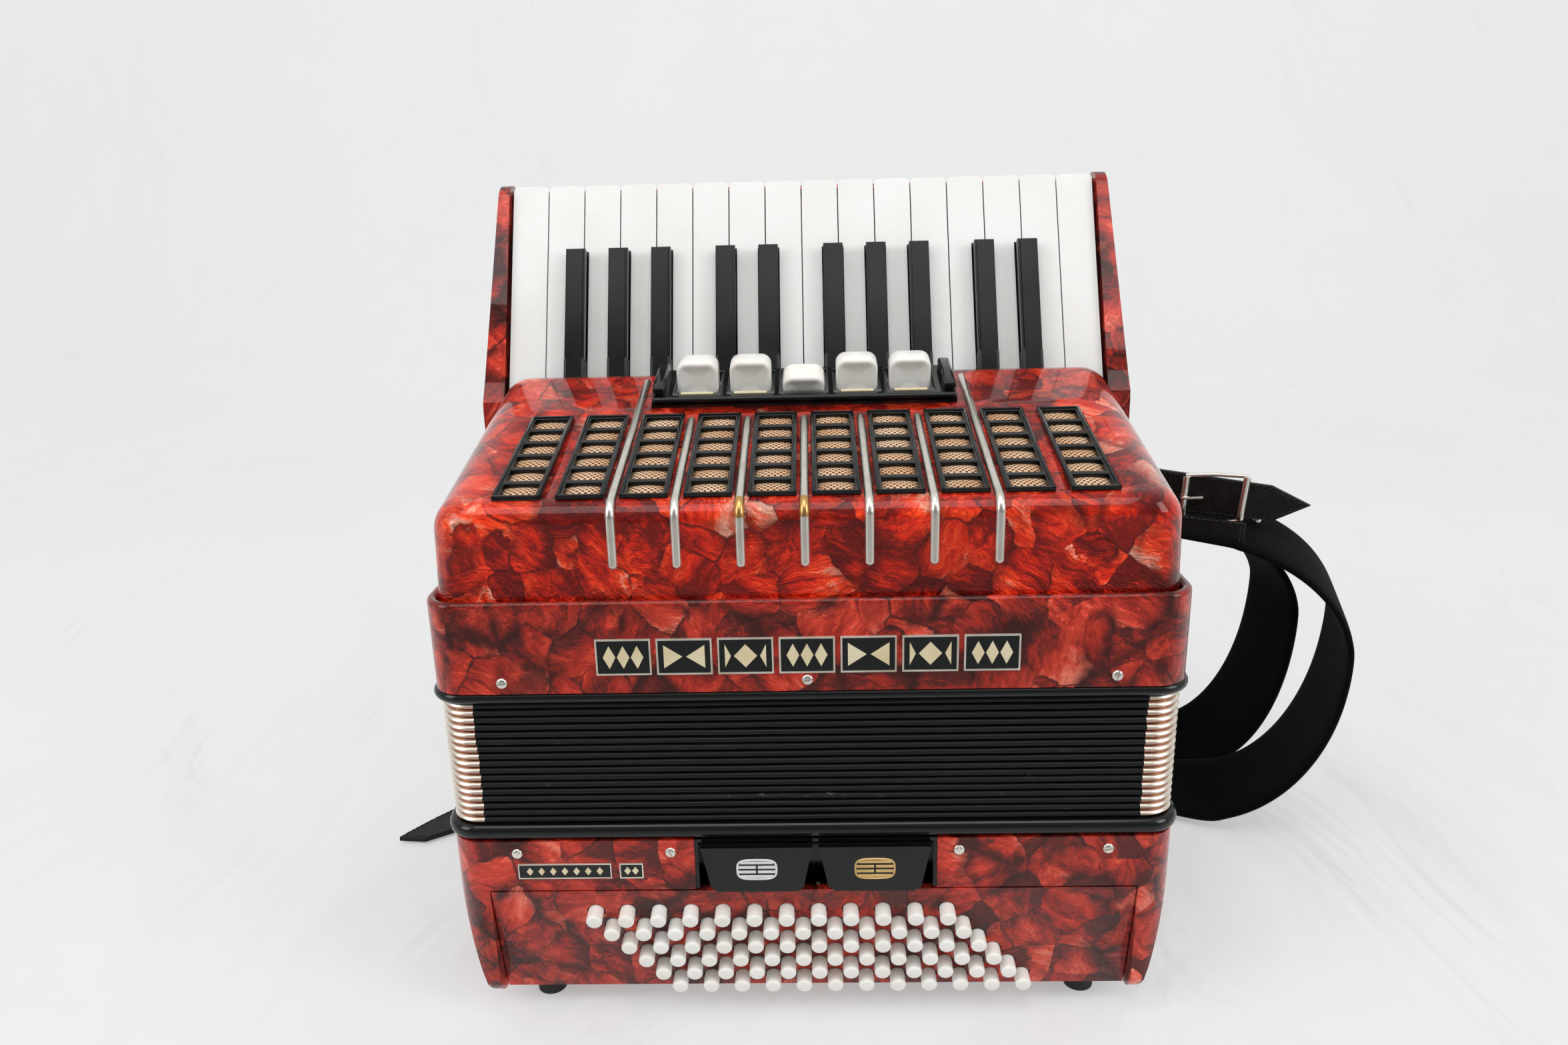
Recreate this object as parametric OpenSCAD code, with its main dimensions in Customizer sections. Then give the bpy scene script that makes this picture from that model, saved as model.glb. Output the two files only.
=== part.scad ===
// Small piano accordion standing on the feet of its bass end.
// Lengths are in millimetres.  The modules use the case's own axes: X runs along the
// keyboard with zero at mid-width, Y runs from the front face to the back, Z runs up
// from the floor.  placed() then moves everything so that the origin is the centre of
// the whole footprint, on the floor.

/* [Case] */
// Width of the bellows frames, side to side
case_w = 311; // [306:1:314]
// Depth of the case, front to back
case_d = 180; // [178:1:184]
// Radius of the case corners seen from above
corner_r = 14; // [10:1:18]
// Thickness of the bass box's walls
wall = 5; // [4.5:0.5:6]
// Thickness of the treble rim
rim_wall = 4; // [3.5:0.5:5]

/* [Heights] */
// Height of the rubber feet
foot_h = 11; // [8:1:14]
// Height of the bass box without its feet
bass_h = 80; // [78:1:84]
// Height of each bellows frame
frame_h = 6; // [5:0.5:8]
// Height of the closed bellows
bellows_h = 56; // [50:1:64]
// Number of folds in the bellows
folds = 17; // [12:1:20]
// Height of the treble rim
rim_h = 39; // [36:1:44]

/* [Grille cover] */
// Height of the cover's front edge above the rim
cover_rise = 37.5; // [30:0.5:45]
// Slope of the cover's top, in degrees
cover_slope = 12.4; // [10:0.2:15]
// Thickness of the cover
cover_wall = 2.5; // [2:0.5:3.5]
// Depth of the cover, front to back
cover_d = 132.5; // [128:0.5:134]
// Number of grille panels
panels = 10; // [8:1:10]
// Distance between panels, centre to centre
panel_pitch = 25.2; // [24:0.1:26]

/* [Keyboard] */
// Width taken by one white key
key_pitch = 18.5; // [18:0.1:18.6]
// Number of white keys
white_keys = 16; // [16:1:16]
// Visible length of the white keys
key_len = 105; // [95:1:110]
// How far the keyboard leans back from upright, in degrees
key_lean = 25.5; // [22:0.5:28]
// Length of the black keys in front of the cover
black_len = 68; // [60:1:75]
// Height of the black keys above the white ones
black_rise = 7.5; // [6:0.5:9]

/* [Bass buttons] */
// Rows of buttons
button_rows = 6; // [4:1:6]
// Buttons in each row
button_columns = 12; // [8:1:12]
// Distance between buttons in a row
button_pitch = 13.7; // [13:0.1:14]
// Diameter of a button
button_d = 6.9; // [6:0.1:7.2]
// How far a button stands out of its board
button_out = 7; // [6:0.5:8]
// Slope of the button board, in degrees from upright
board_slope = 10.5; // [8:0.5:12]

/* [Straps] */
// Width of a shoulder strap
strap_w = 38; // [34:1:40]
// Thickness of a shoulder strap
strap_t = 3.5; // [3:0.5:5]
// Angle by which the strap loops swing forward, in degrees
strap_swing = 26; // [20:1:30]

/* [Hidden] */
$fn = 48;
running_gap = 0.05;
clear_gap = 0.4;

bass_z = foot_h;
bass_top = bass_z + bass_h;
bellows_z = bass_top + frame_h + 1;
bellows_top = bellows_z + bellows_h;
rim_z = bellows_top + frame_h - 1;
rim_top = rim_z + rim_h;

box_w = case_w - 4.6;
rim_w = case_w - 3.6;
bellows_w = case_w - 6;
bellows_inset = 2.5;
fold_depth = 7;
bellows_band = 24;
frame_band = 18;

// Button board: its front face starts at board_top on the front plane
board_top = 66.6;
board_half = 137;
board_t = 3;
board_len = (board_top - bass_z) / cos(board_slope);
first_row = 11.5;
row_pitch = 7.9;
row1_x = -93;
button_travel = 3;
button_hole_d = button_d + 2 * clear_gap;

screw_d = 4.6;
shank_d = 2.2;
shank_l = 4;
bass_screw_x = [-124, -59, 62, 124];
bass_screw_z = bass_top - 5.5;
treble_screw_x = [-123, 0, 123];

// Register bay in the front of the bass box
bay_x = 2;
bay_half = 51;
bay_d = 12;
paddle_top_w = 47;
paddle_bottom_w = 39;
paddle_bottom_z = 68.2;
paddle_y = -3.5;
paddle_t = 3;
bay_bar_y = 4.5;
bay_bar_z = 86;
bay_bar_d = 3;

// Grille cover
cover_y = 4.5;
cover_w = rim_w - 2 * rim_wall - 1;
bend_z = rim_top + cover_rise;
bend_r = 6;
side_r = 15;
slope_len = cover_d / cos(cover_slope);
panel_w = 19.1;
panel_len = 78;
panel_start = 6.8;
panel_rise = 1.6;
strip_w = 3.8;
strip_rise = 2;
strip_foot_z = rim_top + 12;
short_strip_end = 82;
long_strip_end = 128;
register_start = 95.5;
register_w = 140;
register_len = 39;
register_rise = 3.5;
register_drop = 12.5;
rocker_pitch = 24.8;
rocker_w = 19.3;
rocker_top = 16.5;
rocker_front = 109;
rocker_depth = 12;
rocker_axle_s = 129.3;
rocker_axle_z = -6;
rocker_pin_d = 2;
rocker_travel = 16;

// Keyboard: s runs along the keys from where they leave the cover, n stands out of them
key_base_y = 145.7;
key_base_z = rim_top + 62.4;
key_gap = 0.6;
key_depth = 12;
key_root = 18;
axle_s = -18;
axle_n = -9;
axle_d = 3;
keys_x0 = -white_keys * key_pitch / 2;
black_w = 9.8;
notch_half = black_w / 2 + 0.6;
black_after = [1, 2, 3, 5, 6, 8, 9, 10, 12, 13];
black_shift = [-3, 0, 3, -1.5, 1.5, -3, 0, 3, -1.5, 1.5];
base_n = -18;
base_t = 5;
cheek_in = white_keys * key_pitch / 2 + 1.2;
axle_len = 2 * cheek_in + 10;
cheek_top_x = 154;
cheek_base_x = 160;
cheek_end_s = key_len + 3;
cheek_rise = 3;
cheek_back_s = 32;
cheek_swell = [30, 50];
cap_start = -3;
pallet_w = 8;
pallet_l = 34;
pallet_t = 3;
slot_w = 5;
slot_l = 26;
lever_w = 4;

// Reed banks: a soundboard with two rows of reed blocks
soundboard_t = 5;
treble_block_h = 30;
bass_block_h = 24;
block_w = 16;
block_l = 240;

// Straps: the plane that the loops hang in starts at strap_x, strap_y
strap_x = case_w / 2 - 5.5;
strap_y = case_d + 4;
strap_end_w = 26;
strap_rest_z = 1.45 + strap_t / 2;
run_gap = 2;
front_run = strap_y + 3;
rear_run = front_run + strap_w + run_gap;
// Each loop edge: centre [out, z], reach, rise, drop, distance behind the plane
front_near = [[62, 110], 79, 58, 107, 0];
front_far = [[62, 130], 64, 50, 108, strap_w];
rear_near = [[62, 115], 50, 46, 100, strap_w + 6];
rear_far = [[30, 128], 54, 36, 100, 2 * strap_w - 2];
loop_angles = [84 : -6 : -78];
bracket_x = 128;
rear_bracket_x = 96;
bracket_z = rim_top - 22;
front_bracket_z = rim_top - 15;
rear_bracket_z = rim_z + 9;
tongue_back = 17;
tongue_tip = [113, 189];
buckle_start = 50;
buckle_z = 177.3;
tail_tip = [-234, 143];
footprint_left = -tail_tip[0];
footprint_right = max([for (point = band_points(front_strap_path())) point[0]]);
footprint_front = button_out * cos(board_slope) + (button_d / 2 - first_row) * sin(board_slope);
footprint_back = rear_run + strap_w;

// ---------- Shared shapes ----------

module placed() {
    translate([(footprint_left - footprint_right) / 2,
               (footprint_front - footprint_back) / 2, 0]) children();
}

// Rectangle with round corners, centred on X, from y = 0 to y = d
module case_outline(w, d, r) {
    union() {
        translate([-w / 2 + r, 0]) square([w - 2 * r, d]);
        translate([-w / 2, r]) square([w, d - 2 * r]);
        for (x = [-w / 2 + r, w / 2 - r], y = [r, d - r]) translate([x, y]) circle(r);
    }
}

// Closed band that follows the case outline, of a given width and height
module case_band(w, d, r, band, h) {
    linear_extrude(h) difference() {
        case_outline(w, d, r);
        translate([0, band]) case_outline(w - 2 * band, d - 2 * band, max(r - band, 2));
    }
}

// Extrudes a Y-Z outline along X, centred
module along_x(w) {
    rotate([90, 0, 90]) translate([0, 0, -w / 2]) linear_extrude(w) children();
}

// Extrudes an X-Z outline from y0 to y1
module along_y(y0, y1) {
    translate([0, y1, 0]) rotate([90, 0, 0]) linear_extrude(y1 - y0) children();
}

module box_at(x0, x1, y0, y1, z0, z1) {
    translate([x0, y0, z0]) cube([x1 - x0, y1 - y0, z1 - z0]);
}

module rod_x(d, l) {
    rotate([0, 90, 0]) cylinder(d = d, h = l, center = true);
}

// Frame on the cover's top: Y runs up the slope from the front edge, Z stands out
module on_slope() {
    translate([0, cover_y, bend_z]) rotate([cover_slope, 0, 0]) children();
}

// Frame on the button board: Y runs down the board, Z stands out of it
module on_board() {
    translate([0, 0, board_top]) rotate([90 + board_slope, 0, 0])
        mirror([0, 1, 0]) children();
}

// Frame on the keyboard: Y runs along the keys, Z stands out of them
module on_keys() {
    translate([0, key_base_y, key_base_z]) rotate([90 - key_lean, 0, 0]) children();
}

// ---------- Bass section ----------

// Point of a cubic curve between four control points
function curve_point(p, t) =
    pow(1 - t, 3) * p[0] + 3 * t * pow(1 - t, 2) * p[1] + 3 * t * t * (1 - t) * p[2] + pow(t, 3) * p[3];

// Front view of the bass box: its sides curve in towards the floor
module bass_outline_front() {
    half = box_w / 2;
    top = bass_top + 1;
    side = [[half, bass_top - 12], [half - 3, bass_z + 33], [half - 9.5, bass_z + 1],
            [half - 14.8, bass_z]];
    right = [for (t = [0 : 0.1 : 1.001]) curve_point(side, t)];
    left = [for (i = [len(right) - 1 : -1 : 0]) [-right[i][0], right[i][1]]];
    polygon(concat([[half, top]], right, left, [[-half, top]]));
}

// Side view of the bass box, with round lower edges
module bass_outline_side() {
    r = 12;
    union() {
        translate([0, bass_z + r]) square([case_d, bass_h + 1 - r]);
        translate([r, bass_z]) square([case_d - 2 * r, 2 * r]);
        for (y = [r, case_d - r]) translate([y, bass_z + r]) circle(r);
    }
}

module bass_outer() {
    intersection() {
        along_y(0, case_d) bass_outline_front();
        along_x(case_w) bass_outline_side();
        translate([0, 0, bass_z]) linear_extrude(bass_h) case_outline(box_w, case_d, corner_r);
    }
}

module bass_box() {
    back_y = case_d - wall;
    floor_skin = 1.2;
    recess_top = board_top + board_t * sin(board_slope) + 0.15;
    color("firebrick") difference() {
        bass_outer();
        box_at(-board_half - 4, board_half + 4, 14, back_y, bass_z + wall, bass_top + 1);
        box_at(-board_half + 4, board_half - 4, wall, 20, board_top - 4, bass_top + 1);
        box_at(-board_half + 4, board_half - 4, -1, 20, bass_z + floor_skin, board_top);
        along_x(2 * board_half + 2 * clear_gap)
            polygon([[-1, recess_top], [board_t + 0.2, recess_top],
                     [board_t + 1 + board_len * sin(board_slope), bass_z - 1], [-1, bass_z - 1]]);
        box_at(bay_x - bay_half, bay_x + bay_half, -1, wall + 1, board_top - 1, bass_top + 1);
        screw_holes(bass_screw_x, bass_screw_z);
    }
}

module button_board() {
    color("firebrick") on_board() difference() {
        translate([-board_half, 0, -board_t]) cube([2 * board_half, board_len, board_t]);
        for (r = [0 : button_rows - 1], c = [0 : button_columns - 1])
            translate([row1_x + (c + r / 2) * button_pitch, first_row + r * row_pitch, -board_t - 1])
                cylinder(d = button_hole_d, h = board_t + 2);
    }
}

// One row of buttons on their rods, with a collar that stops each behind the board
module button_row(r) {
    collar_d = button_d + 1.8;
    collar_t = 1.5;
    rod_l = 12;
    color("white") on_board()
        for (c = [0 : button_columns - 1])
            translate([row1_x + (c + (r - 1) / 2) * button_pitch,
                       first_row + (r - 1) * row_pitch, 0]) {
                translate([0, 0, -board_t - 1]) cylinder(d = button_d, h = board_t + 1 + button_out);
                translate([0, 0, -board_t - 0.1 - collar_t]) cylinder(d = collar_d, h = collar_t);
                translate([0, 0, -board_t - rod_l]) cylinder(d = 2.4, h = rod_l);
            }
}

module register_bay() {
    color("black") union() {
        difference() {
            box_at(bay_x - bay_half + 0.1, bay_x + bay_half - 0.1, 0.5, bay_d,
                   board_top + 0.9, bass_top);
            box_at(bay_x - bay_half + 1.6, bay_x + bay_half - 1.6, -1, bay_d - 1.5,
                   board_top + 0.2, bass_top - 1.5);
        }
        translate([bay_x, bay_bar_y, bay_bar_z]) rod_x(bay_bar_d, 2 * bay_half - 2);
    }
}

// A register paddle hung on the bar of its bay by two lugs
module register_paddle(side) {
    top_z = bass_top - 1.8;
    half_top = paddle_top_w / 2;
    half_low = paddle_bottom_w / 2;
    lug_t = 3;
    color("black") translate([bay_x + side * (half_top + 1.2), 0, 0]) difference() {
        union() {
            along_y(paddle_y, paddle_y + paddle_t)
                polygon([[-half_top, top_z], [half_top, top_z], [half_top - 1, top_z - 4],
                         [half_low, paddle_bottom_z + 2], [half_low - 3, paddle_bottom_z],
                         [-half_low + 3, paddle_bottom_z], [-half_low, paddle_bottom_z + 2],
                         [-half_top + 1, top_z - 4]]);
            for (x = [-12, 12]) {
                box_at(x - lug_t / 2, x + lug_t / 2, paddle_y + paddle_t - 0.5, bay_bar_y,
                       bay_bar_z - 3, bay_bar_z + 3);
                translate([x, bay_bar_y, bay_bar_z]) rod_x(6, lug_t);
            }
        }
        translate([0, bay_bar_y, bay_bar_z]) rod_x(bay_bar_d + 2 * running_gap, paddle_top_w);
    }
}

module bass_bellows_frame() {
    color("black") translate([0, 0, bass_top])
        case_band(case_w, case_d, corner_r + 1, frame_band, frame_h + 1);
}

module reed_blocks(h) {
    for (y = [case_d * 0.36, case_d * 0.62])
        translate([-block_l / 2, y - block_w / 2, 0]) cube([block_l, block_w, h]);
}

module bass_reed_bank() {
    board_z = bass_top - soundboard_t;
    color("burlywood") union() {
        difference() {
            box_at(-board_half, board_half, 16, case_d - wall - 1, board_z, bass_top);
            for (c = [0 : button_columns - 1])
                box_at(row1_x + c * 16 - slot_w / 2, row1_x + c * 16 + slot_w / 2,
                       case_d * 0.36 - 5, case_d * 0.36 + 5, board_z - 1, bass_top - 1);
        }
        translate([0, 0, bass_top]) reed_blocks(bass_block_h);
    }
}

module bass_feet() {
    color("dimgray") for (x = [-121, 121], y = [24, case_d - 24])
        translate([x, y, 0]) {
            cylinder(d = 13, h = foot_h - 3);
            translate([0, 0, foot_h - 3]) cylinder(d = 16, h = 3);
        }
}

// Leather strap for the left hand, slack under the end wall between two end plates
module hand_strap() {
    half = 128;
    sag = 4.5;
    thick = 2.5;
    strap_width = 58;
    radius = (half * half + sag * sag) / (2 * sag);
    end_w = 10;
    color("black") union() {
        intersection() {
            translate([0, case_d / 2, bass_z - 0.5 - sag + radius - thick])
                rotate([90, 0, 0]) difference() {
                    cylinder(r = radius, h = strap_width, center = true, $fn = 96);
                    cylinder(r = radius - thick, h = strap_width + 2, center = true, $fn = 96);
                }
            box_at(-half, half, 0, case_d, 0.5, bass_z);
        }
        for (side = [-1, 1])
            box_at(side * (half - end_w / 2) - end_w / 2, side * (half - end_w / 2) + end_w / 2,
                   case_d / 2 - strap_width / 2, case_d / 2 + strap_width / 2,
                   bass_z - 4, bass_z);
    }
}

// Places its children at each screw, along the front and the back of a case part
module at_screws(xs, z) {
    for (x = xs, side = [0, 1])
        translate([x, side * case_d, z]) rotate([side == 0 ? 90 : -90, 0, 0]) children();
}

module screw_holes(xs, z) {
    at_screws(xs, z) translate([0, 0, -wall - 1])
        cylinder(d = shank_d + 2 * running_gap, h = wall + 2);
}

module pan_screws(xs, z) {
    color("silver") at_screws(xs, z) {
        cylinder(d = screw_d, h = 1.4);
        translate([0, 0, -shank_l]) cylinder(d = shank_d, h = shank_l);
    }
}

module bass_screws() {
    pan_screws(bass_screw_x, bass_screw_z);
}

module bellows() {
    pitch = bellows_h / folds;
    ridge_t = pitch * 0.62;
    color("black") union() {
        for (i = [0 : folds - 1])
            translate([0, bellows_inset, bellows_z + i * pitch + (pitch - ridge_t) / 2])
                case_band(bellows_w, case_d - 2 * bellows_inset, corner_r - 1,
                          bellows_band, ridge_t);
        translate([0, bellows_inset + fold_depth, bellows_z])
            case_band(bellows_w - 2 * fold_depth, case_d - 2 * (bellows_inset + fold_depth),
                      corner_r - fold_depth, bellows_band - 2 * fold_depth, bellows_h);
    }
}

// ---------- Treble section ----------

module treble_bellows_frame() {
    color("black") translate([0, 0, bellows_top])
        case_band(case_w, case_d, corner_r + 1, frame_band, frame_h - 1);
}

module treble_rim() {
    color("firebrick") difference() {
        translate([0, 0, rim_z]) case_band(rim_w, case_d, corner_r, rim_wall, rim_h);
        screw_holes(treble_screw_x, rim_z + wall);
    }
}

module treble_screws() {
    pan_screws(treble_screw_x, rim_z + wall);
}

function white_x(k) = keys_x0 + (k - 0.5) * key_pitch;
function black_x(k) = keys_x0 + (black_after[k - 1] + 1) * key_pitch + black_shift[k - 1];

// Middle of the narrow part of a white key, between the black keys beside it
function lever_x(k) =
    let (x = white_x(k), half = (key_pitch - key_gap) / 2,
         beside = [for (b = [1 : len(black_after)]) if (abs(black_x(b) - x) < key_pitch) black_x(b)],
         left = max(concat([x - half], [for (bx = beside) if (bx < x) bx + notch_half])),
         right = min(concat([x + half], [for (bx = beside) if (bx > x) bx - notch_half])))
    (left + right) / 2;

module treble_reed_bank() {
    edge = rim_wall + 0.2;
    color("burlywood") union() {
        difference() {
            translate([0, edge, rim_z]) linear_extrude(soundboard_t)
                case_outline(rim_w - 2 * edge, case_d - 2 * edge, corner_r - rim_wall);
            for (x = concat([for (k = [1 : white_keys]) lever_x(k)],
                            [for (k = [1 : len(black_after)]) black_x(k)]))
                box_at(x - slot_w / 2, x + slot_w / 2, pallet_y() + 4, pallet_y() + 4 + slot_l,
                       rim_z + 1, rim_z + soundboard_t + 1);
        }
        translate([0, 0, rim_z - treble_block_h]) reed_blocks(treble_block_h);
    }
}

// Height of the centre of a round edge that touches the cover's front and top
function edge_z(r) = bend_z + r * tan(cover_slope) - r / cos(cover_slope);

// Body of the cover up to a given back end, drawn in by an inset on the other sides
module cover_body(inset, y1) {
    half = cover_w / 2 - inset;
    y0 = cover_y + inset;
    foot_r = 10.5;
    rear_z = bend_z + (y1 - cover_y - 1) * tan(cover_slope) - inset / cos(cover_slope);
    hull() {
        for (side = [-1, 1]) {
            translate([side * (half - foot_r), y0 + foot_r, rim_z + 8])
                cylinder(r = foot_r, h = 1, $fn = 32);
            translate([side * (half - 3), y1 - 3, rim_z + 8]) cylinder(r = 3, h = 1, $fn = 32);
            translate([side * (half - side_r), y0 + side_r, edge_z(side_r) - inset - 2])
                sphere(side_r, $fn = 32);
            translate([side * (half - side_r), y1, rear_z - side_r])
                rotate([90, 0, 0]) cylinder(r = side_r, h = 1, $fn = 32);
        }
        translate([0, cover_y + bend_r, edge_z(bend_r)])
            rod_x(2 * (bend_r - inset), 2 * (half - side_r - 3));
    }
}

module grille_cover() {
    color("firebrick") difference() {
        cover_body(0, cover_y + cover_d);
        cover_body(cover_wall, cover_y + cover_d + 2);
        box_at(-cover_w, cover_w, -1, case_d, rim_z, rim_z + 10);
        on_slope() {
            for (i = [0 : panels - 1])
                translate([(i - (panels - 1) / 2) * panel_pitch - panel_w / 2 + 1.5,
                           panel_start + 1.5, -8])
                    cube([panel_w - 3, panel_len - 3, 16]);
            translate([-register_w / 2 + 4, register_start + 4, -8])
                cube([register_w - 8, register_len - 5, 16]);
        }
    }
}

// Black frames with six windows each, over the openings of the cover
module grille_panels() {
    windows = 6;
    bar = 3;
    side = 2.4;
    window_l = (panel_len - 2 * side - (windows - 1) * bar) / windows;
    color("black") on_slope() for (i = [0 : panels - 1])
        translate([(i - (panels - 1) / 2) * panel_pitch - panel_w / 2, panel_start, 0])
            difference() {
                union() {
                    translate([0, 0, 0.1]) cube([panel_w, panel_len, panel_rise]);
                    translate([2, 2, -cover_wall - 1])
                        cube([panel_w - 4, panel_len - 4, cover_wall + 1.5]);
                }
                for (w = [0 : windows - 1])
                    translate([side, side + w * (window_l + bar), -cover_wall + 0.5])
                        cube([panel_w - 2 * side, window_l, 10]);
            }
}

// Point of a strip's side outline on the bend, and one on the cover's top, in Y and Z
function bend_point(a, r) = [cover_y + bend_r + r * cos(a), edge_z(bend_r) + r * sin(a)];
function top_point(s, n) = [cover_y + s * cos(cover_slope) - n * sin(cover_slope),
                            bend_z + s * sin(cover_slope) + n * cos(cover_slope)];

// Metal strips between the panels, bent over the cover's front edge
module grille_strips() {
    lift = 0.1;
    step = 7;
    bend_end = 90 + cover_slope;
    color("silver") for (i = [-3 : 3]) {
        end_s = abs(i) == 3 ? long_strip_end : short_strip_end;
        translate([i * panel_pitch, 0, 0]) along_x(strip_w) polygon(concat(
            [[cover_y - strip_rise, strip_foot_z]],
            [for (a = [180 : -step : bend_end]) bend_point(a, bend_r + strip_rise)],
            [top_point(end_s, strip_rise), top_point(end_s, lift)],
            [for (a = [bend_end : step : 180]) bend_point(a, bend_r + lift)],
            [[cover_y - lift, strip_foot_z]]));
    }
}

// Black frame of the treble registers, with a well for each rocker
module register_frame() {
    well_w = rocker_w + 2;
    well_start = 7.5;
    well_end = register_len - 3;
    horn_w = 6;
    color("black") on_slope() translate([0, register_start, 0]) difference() {
        union() {
            translate([-register_w / 2, 0, 0.1]) cube([register_w, register_len, register_rise]);
            translate([-register_w / 2 + 5, 5, -register_drop])
                cube([register_w - 10, register_len - 7, register_drop + 1]);
            for (side = [-1, 1]) translate([side * (register_w - horn_w) / 2 - horn_w / 2, 4, 0.1])
                cube([horn_w, register_len - 6, register_rise + 4]);
        }
        for (k = [-2 : 2])
            translate([k * rocker_pitch - well_w / 2, well_start, -register_drop + 1.5])
                cube([well_w, well_end - well_start, 40]);
        translate([0, rocker_axle_s - register_start, rocker_axle_z])
            rod_x(rocker_pin_d + 2 * running_gap, 5 * rocker_pitch + 2);
    }
}

// A register rocker with its pivot pin; a pressed one is turned forward
module register_rocker(k, pressed) {
    color("white") on_slope() translate([(k - 3) * rocker_pitch, rocker_axle_s, rocker_axle_z])
        rotate([pressed ? rocker_travel : 0, 0, 0]) union() {
            translate([-rocker_w / 2, rocker_front - rocker_axle_s, 3])
                cube([rocker_w, rocker_depth, rocker_top - rocker_axle_z - 3]);
            translate([-rocker_w / 2, rocker_front - rocker_axle_s + 1, 1])
                cube([rocker_w, rocker_axle_s - rocker_front - 1, 3.5]);
            rod_x(4, rocker_w);
            rod_x(rocker_pin_d, rocker_w + 3.4);
        }
}

// ---------- Keyboard ----------

function key_y(s, n) = key_base_y + s * sin(key_lean) - n * cos(key_lean);
function key_z(s, n) = key_base_z + s * cos(key_lean) + n * sin(key_lean);
function pallet_y() = key_y(axle_s, axle_n) - 70;

// Outline of the upper part of a cheek: X runs along the keys, Y stands out of them
module cheek_side() {
    tip_r = 11;
    back = base_n - base_t;
    union() {
        translate([cheek_end_s - tip_r, cheek_rise - tip_r]) circle(tip_r);
        translate([0, back]) square([cheek_end_s - tip_r, cheek_rise - back]);
        translate([cheek_end_s - 2 * tip_r, back]) square([2 * tip_r - 3, 14]);
    }
}

// Outline of the lower part of a cheek, between the rim and the keys, in Y and Z
module cheek_foot() {
    back = base_n - base_t;
    y0 = cover_y + cover_d + 1;
    polygon([[y0, rim_top], [case_d, rim_top], [case_d, key_z(cheek_back_s, back)],
             [key_y(cheek_back_s, back), key_z(cheek_back_s, back)],
             [key_y(0, cheek_rise), key_z(0, cheek_rise)], [y0, key_z(-10, cheek_rise)]]);
}

// The two cheeks: widest a little above the rim and narrower towards their tops
module cheeks() {
    reach = 2 * cheek_base_x;
    high = key_z(cheek_end_s, cheek_rise) + 10;
    intersection() {
        union() {
            on_keys() along_x(reach) cheek_side();
            along_x(reach) cheek_foot();
        }
        along_y(0, 2 * case_d) for (side = [-1, 1])
            polygon([[side * cheek_in, rim_top], [side * rim_w / 2, rim_top],
                     [side * cheek_base_x, rim_top + cheek_swell[0]],
                     [side * cheek_base_x, rim_top + cheek_swell[1]],
                     [side * cheek_top_x, high], [side * cheek_in, high]]);
    }
}

// Cheeks, the board behind the keys, the wall behind it and the lip over the key tips
module keyboard_base() {
    half = cheek_in + 1;
    color("firebrick") difference() {
        union() {
            cheeks();
            on_keys() translate([-half, cheek_back_s - 12, base_n - base_t])
                cube([2 * half, cheek_end_s + 11 - cheek_back_s, base_t]);
            on_keys() translate([-half, key_len + 0.5, base_n - 0.1]) cube([2 * half, 2, 6]);
            box_at(-half, half, case_d - rim_wall, case_d, rim_top,
                   key_z(cheek_back_s, base_n - base_t));
        }
        at_axle() rod_x(axle_d, axle_len);
    }
}

module at_axle() {
    translate([0, key_y(axle_s, axle_n), key_z(axle_s, axle_n)]) children();
}

module key_axle() {
    color("silver") at_axle() rod_x(axle_d, axle_len);
}

// Hub, lever and pallet that every key carries under the cover
module key_action(x) {
    ay = key_y(axle_s, axle_n);
    az = key_z(axle_s, axle_n);
    pan_z = rim_z + soundboard_t;
    translate([x, 0, 0]) {
        at_axle() rod_x(8, pallet_w);
        along_x(lever_w) polygon([[ay - 3, az - 2], [ay + 3, az - 2], [ay - 30, pan_z + 2],
                                  [pallet_y() + 2, pan_z + 2], [pallet_y() + 2, pan_z + 6],
                                  [ay - 36, pan_z + 6]]);
        box_at(-pallet_w / 2, pallet_w / 2, pallet_y(), pallet_y() + pallet_l,
               pan_z + 0.3, pan_z + 0.3 + pallet_t);
    }
}

module axle_bore(x) {
    translate([x, 0, 0]) at_axle() rod_x(axle_d + 2 * running_gap, key_pitch);
}

// Top view of a white key, with round corners at its tip
module white_key_plan(w, end) {
    tip_r = 2.4;
    corner = [w / 2 - tip_r, end - tip_r];
    polygon(concat(
        [[-w / 2, -key_root], [w / 2, -key_root]],
        [for (a = [0 : 22.5 : 90]) corner + tip_r * [cos(a), sin(a)]],
        [for (a = [90 : 22.5 : 180]) [-corner[0], corner[1]] + tip_r * [cos(a), sin(a)]]));
}

// A white key, notched beside the black keys, with its lever under its narrow part
module white_key(k) {
    w = key_pitch - key_gap;
    color("white") difference() {
        union() {
            on_keys() difference() {
                translate([white_x(k), 0, -key_depth]) linear_extrude(key_depth)
                    white_key_plan(w, key_len - 0.5);
                for (b = [1 : len(black_after)])
                    if (abs(black_x(b) - white_x(k)) < key_pitch)
                        translate([black_x(b) - notch_half, -key_root - 1, -key_depth - 1])
                            cube([2 * notch_half, key_root + black_len + 1.8, key_depth + 2]);
            }
            key_action(lever_x(k));
        }
        axle_bore(white_x(k));
    }
}

module black_key(k) {
    bevel = 1.2;
    color("black") difference() {
        union() {
            on_keys() translate([black_x(k) - black_w / 2, 0, 0]) {
                translate([0, -key_root, -key_depth])
                    cube([black_w, key_root + black_len, key_depth]);
                translate([0, cap_start, -1])
                    cube([black_w, black_len - cap_start, black_rise - bevel + 1]);
                translate([bevel, cap_start, black_rise - bevel - 0.1])
                    cube([black_w - 2 * bevel, black_len - bevel - cap_start, bevel + 0.1]);
            }
            key_action(black_x(k));
        }
        axle_bore(black_x(k));
    }
}

// ---------- Straps ----------

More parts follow.
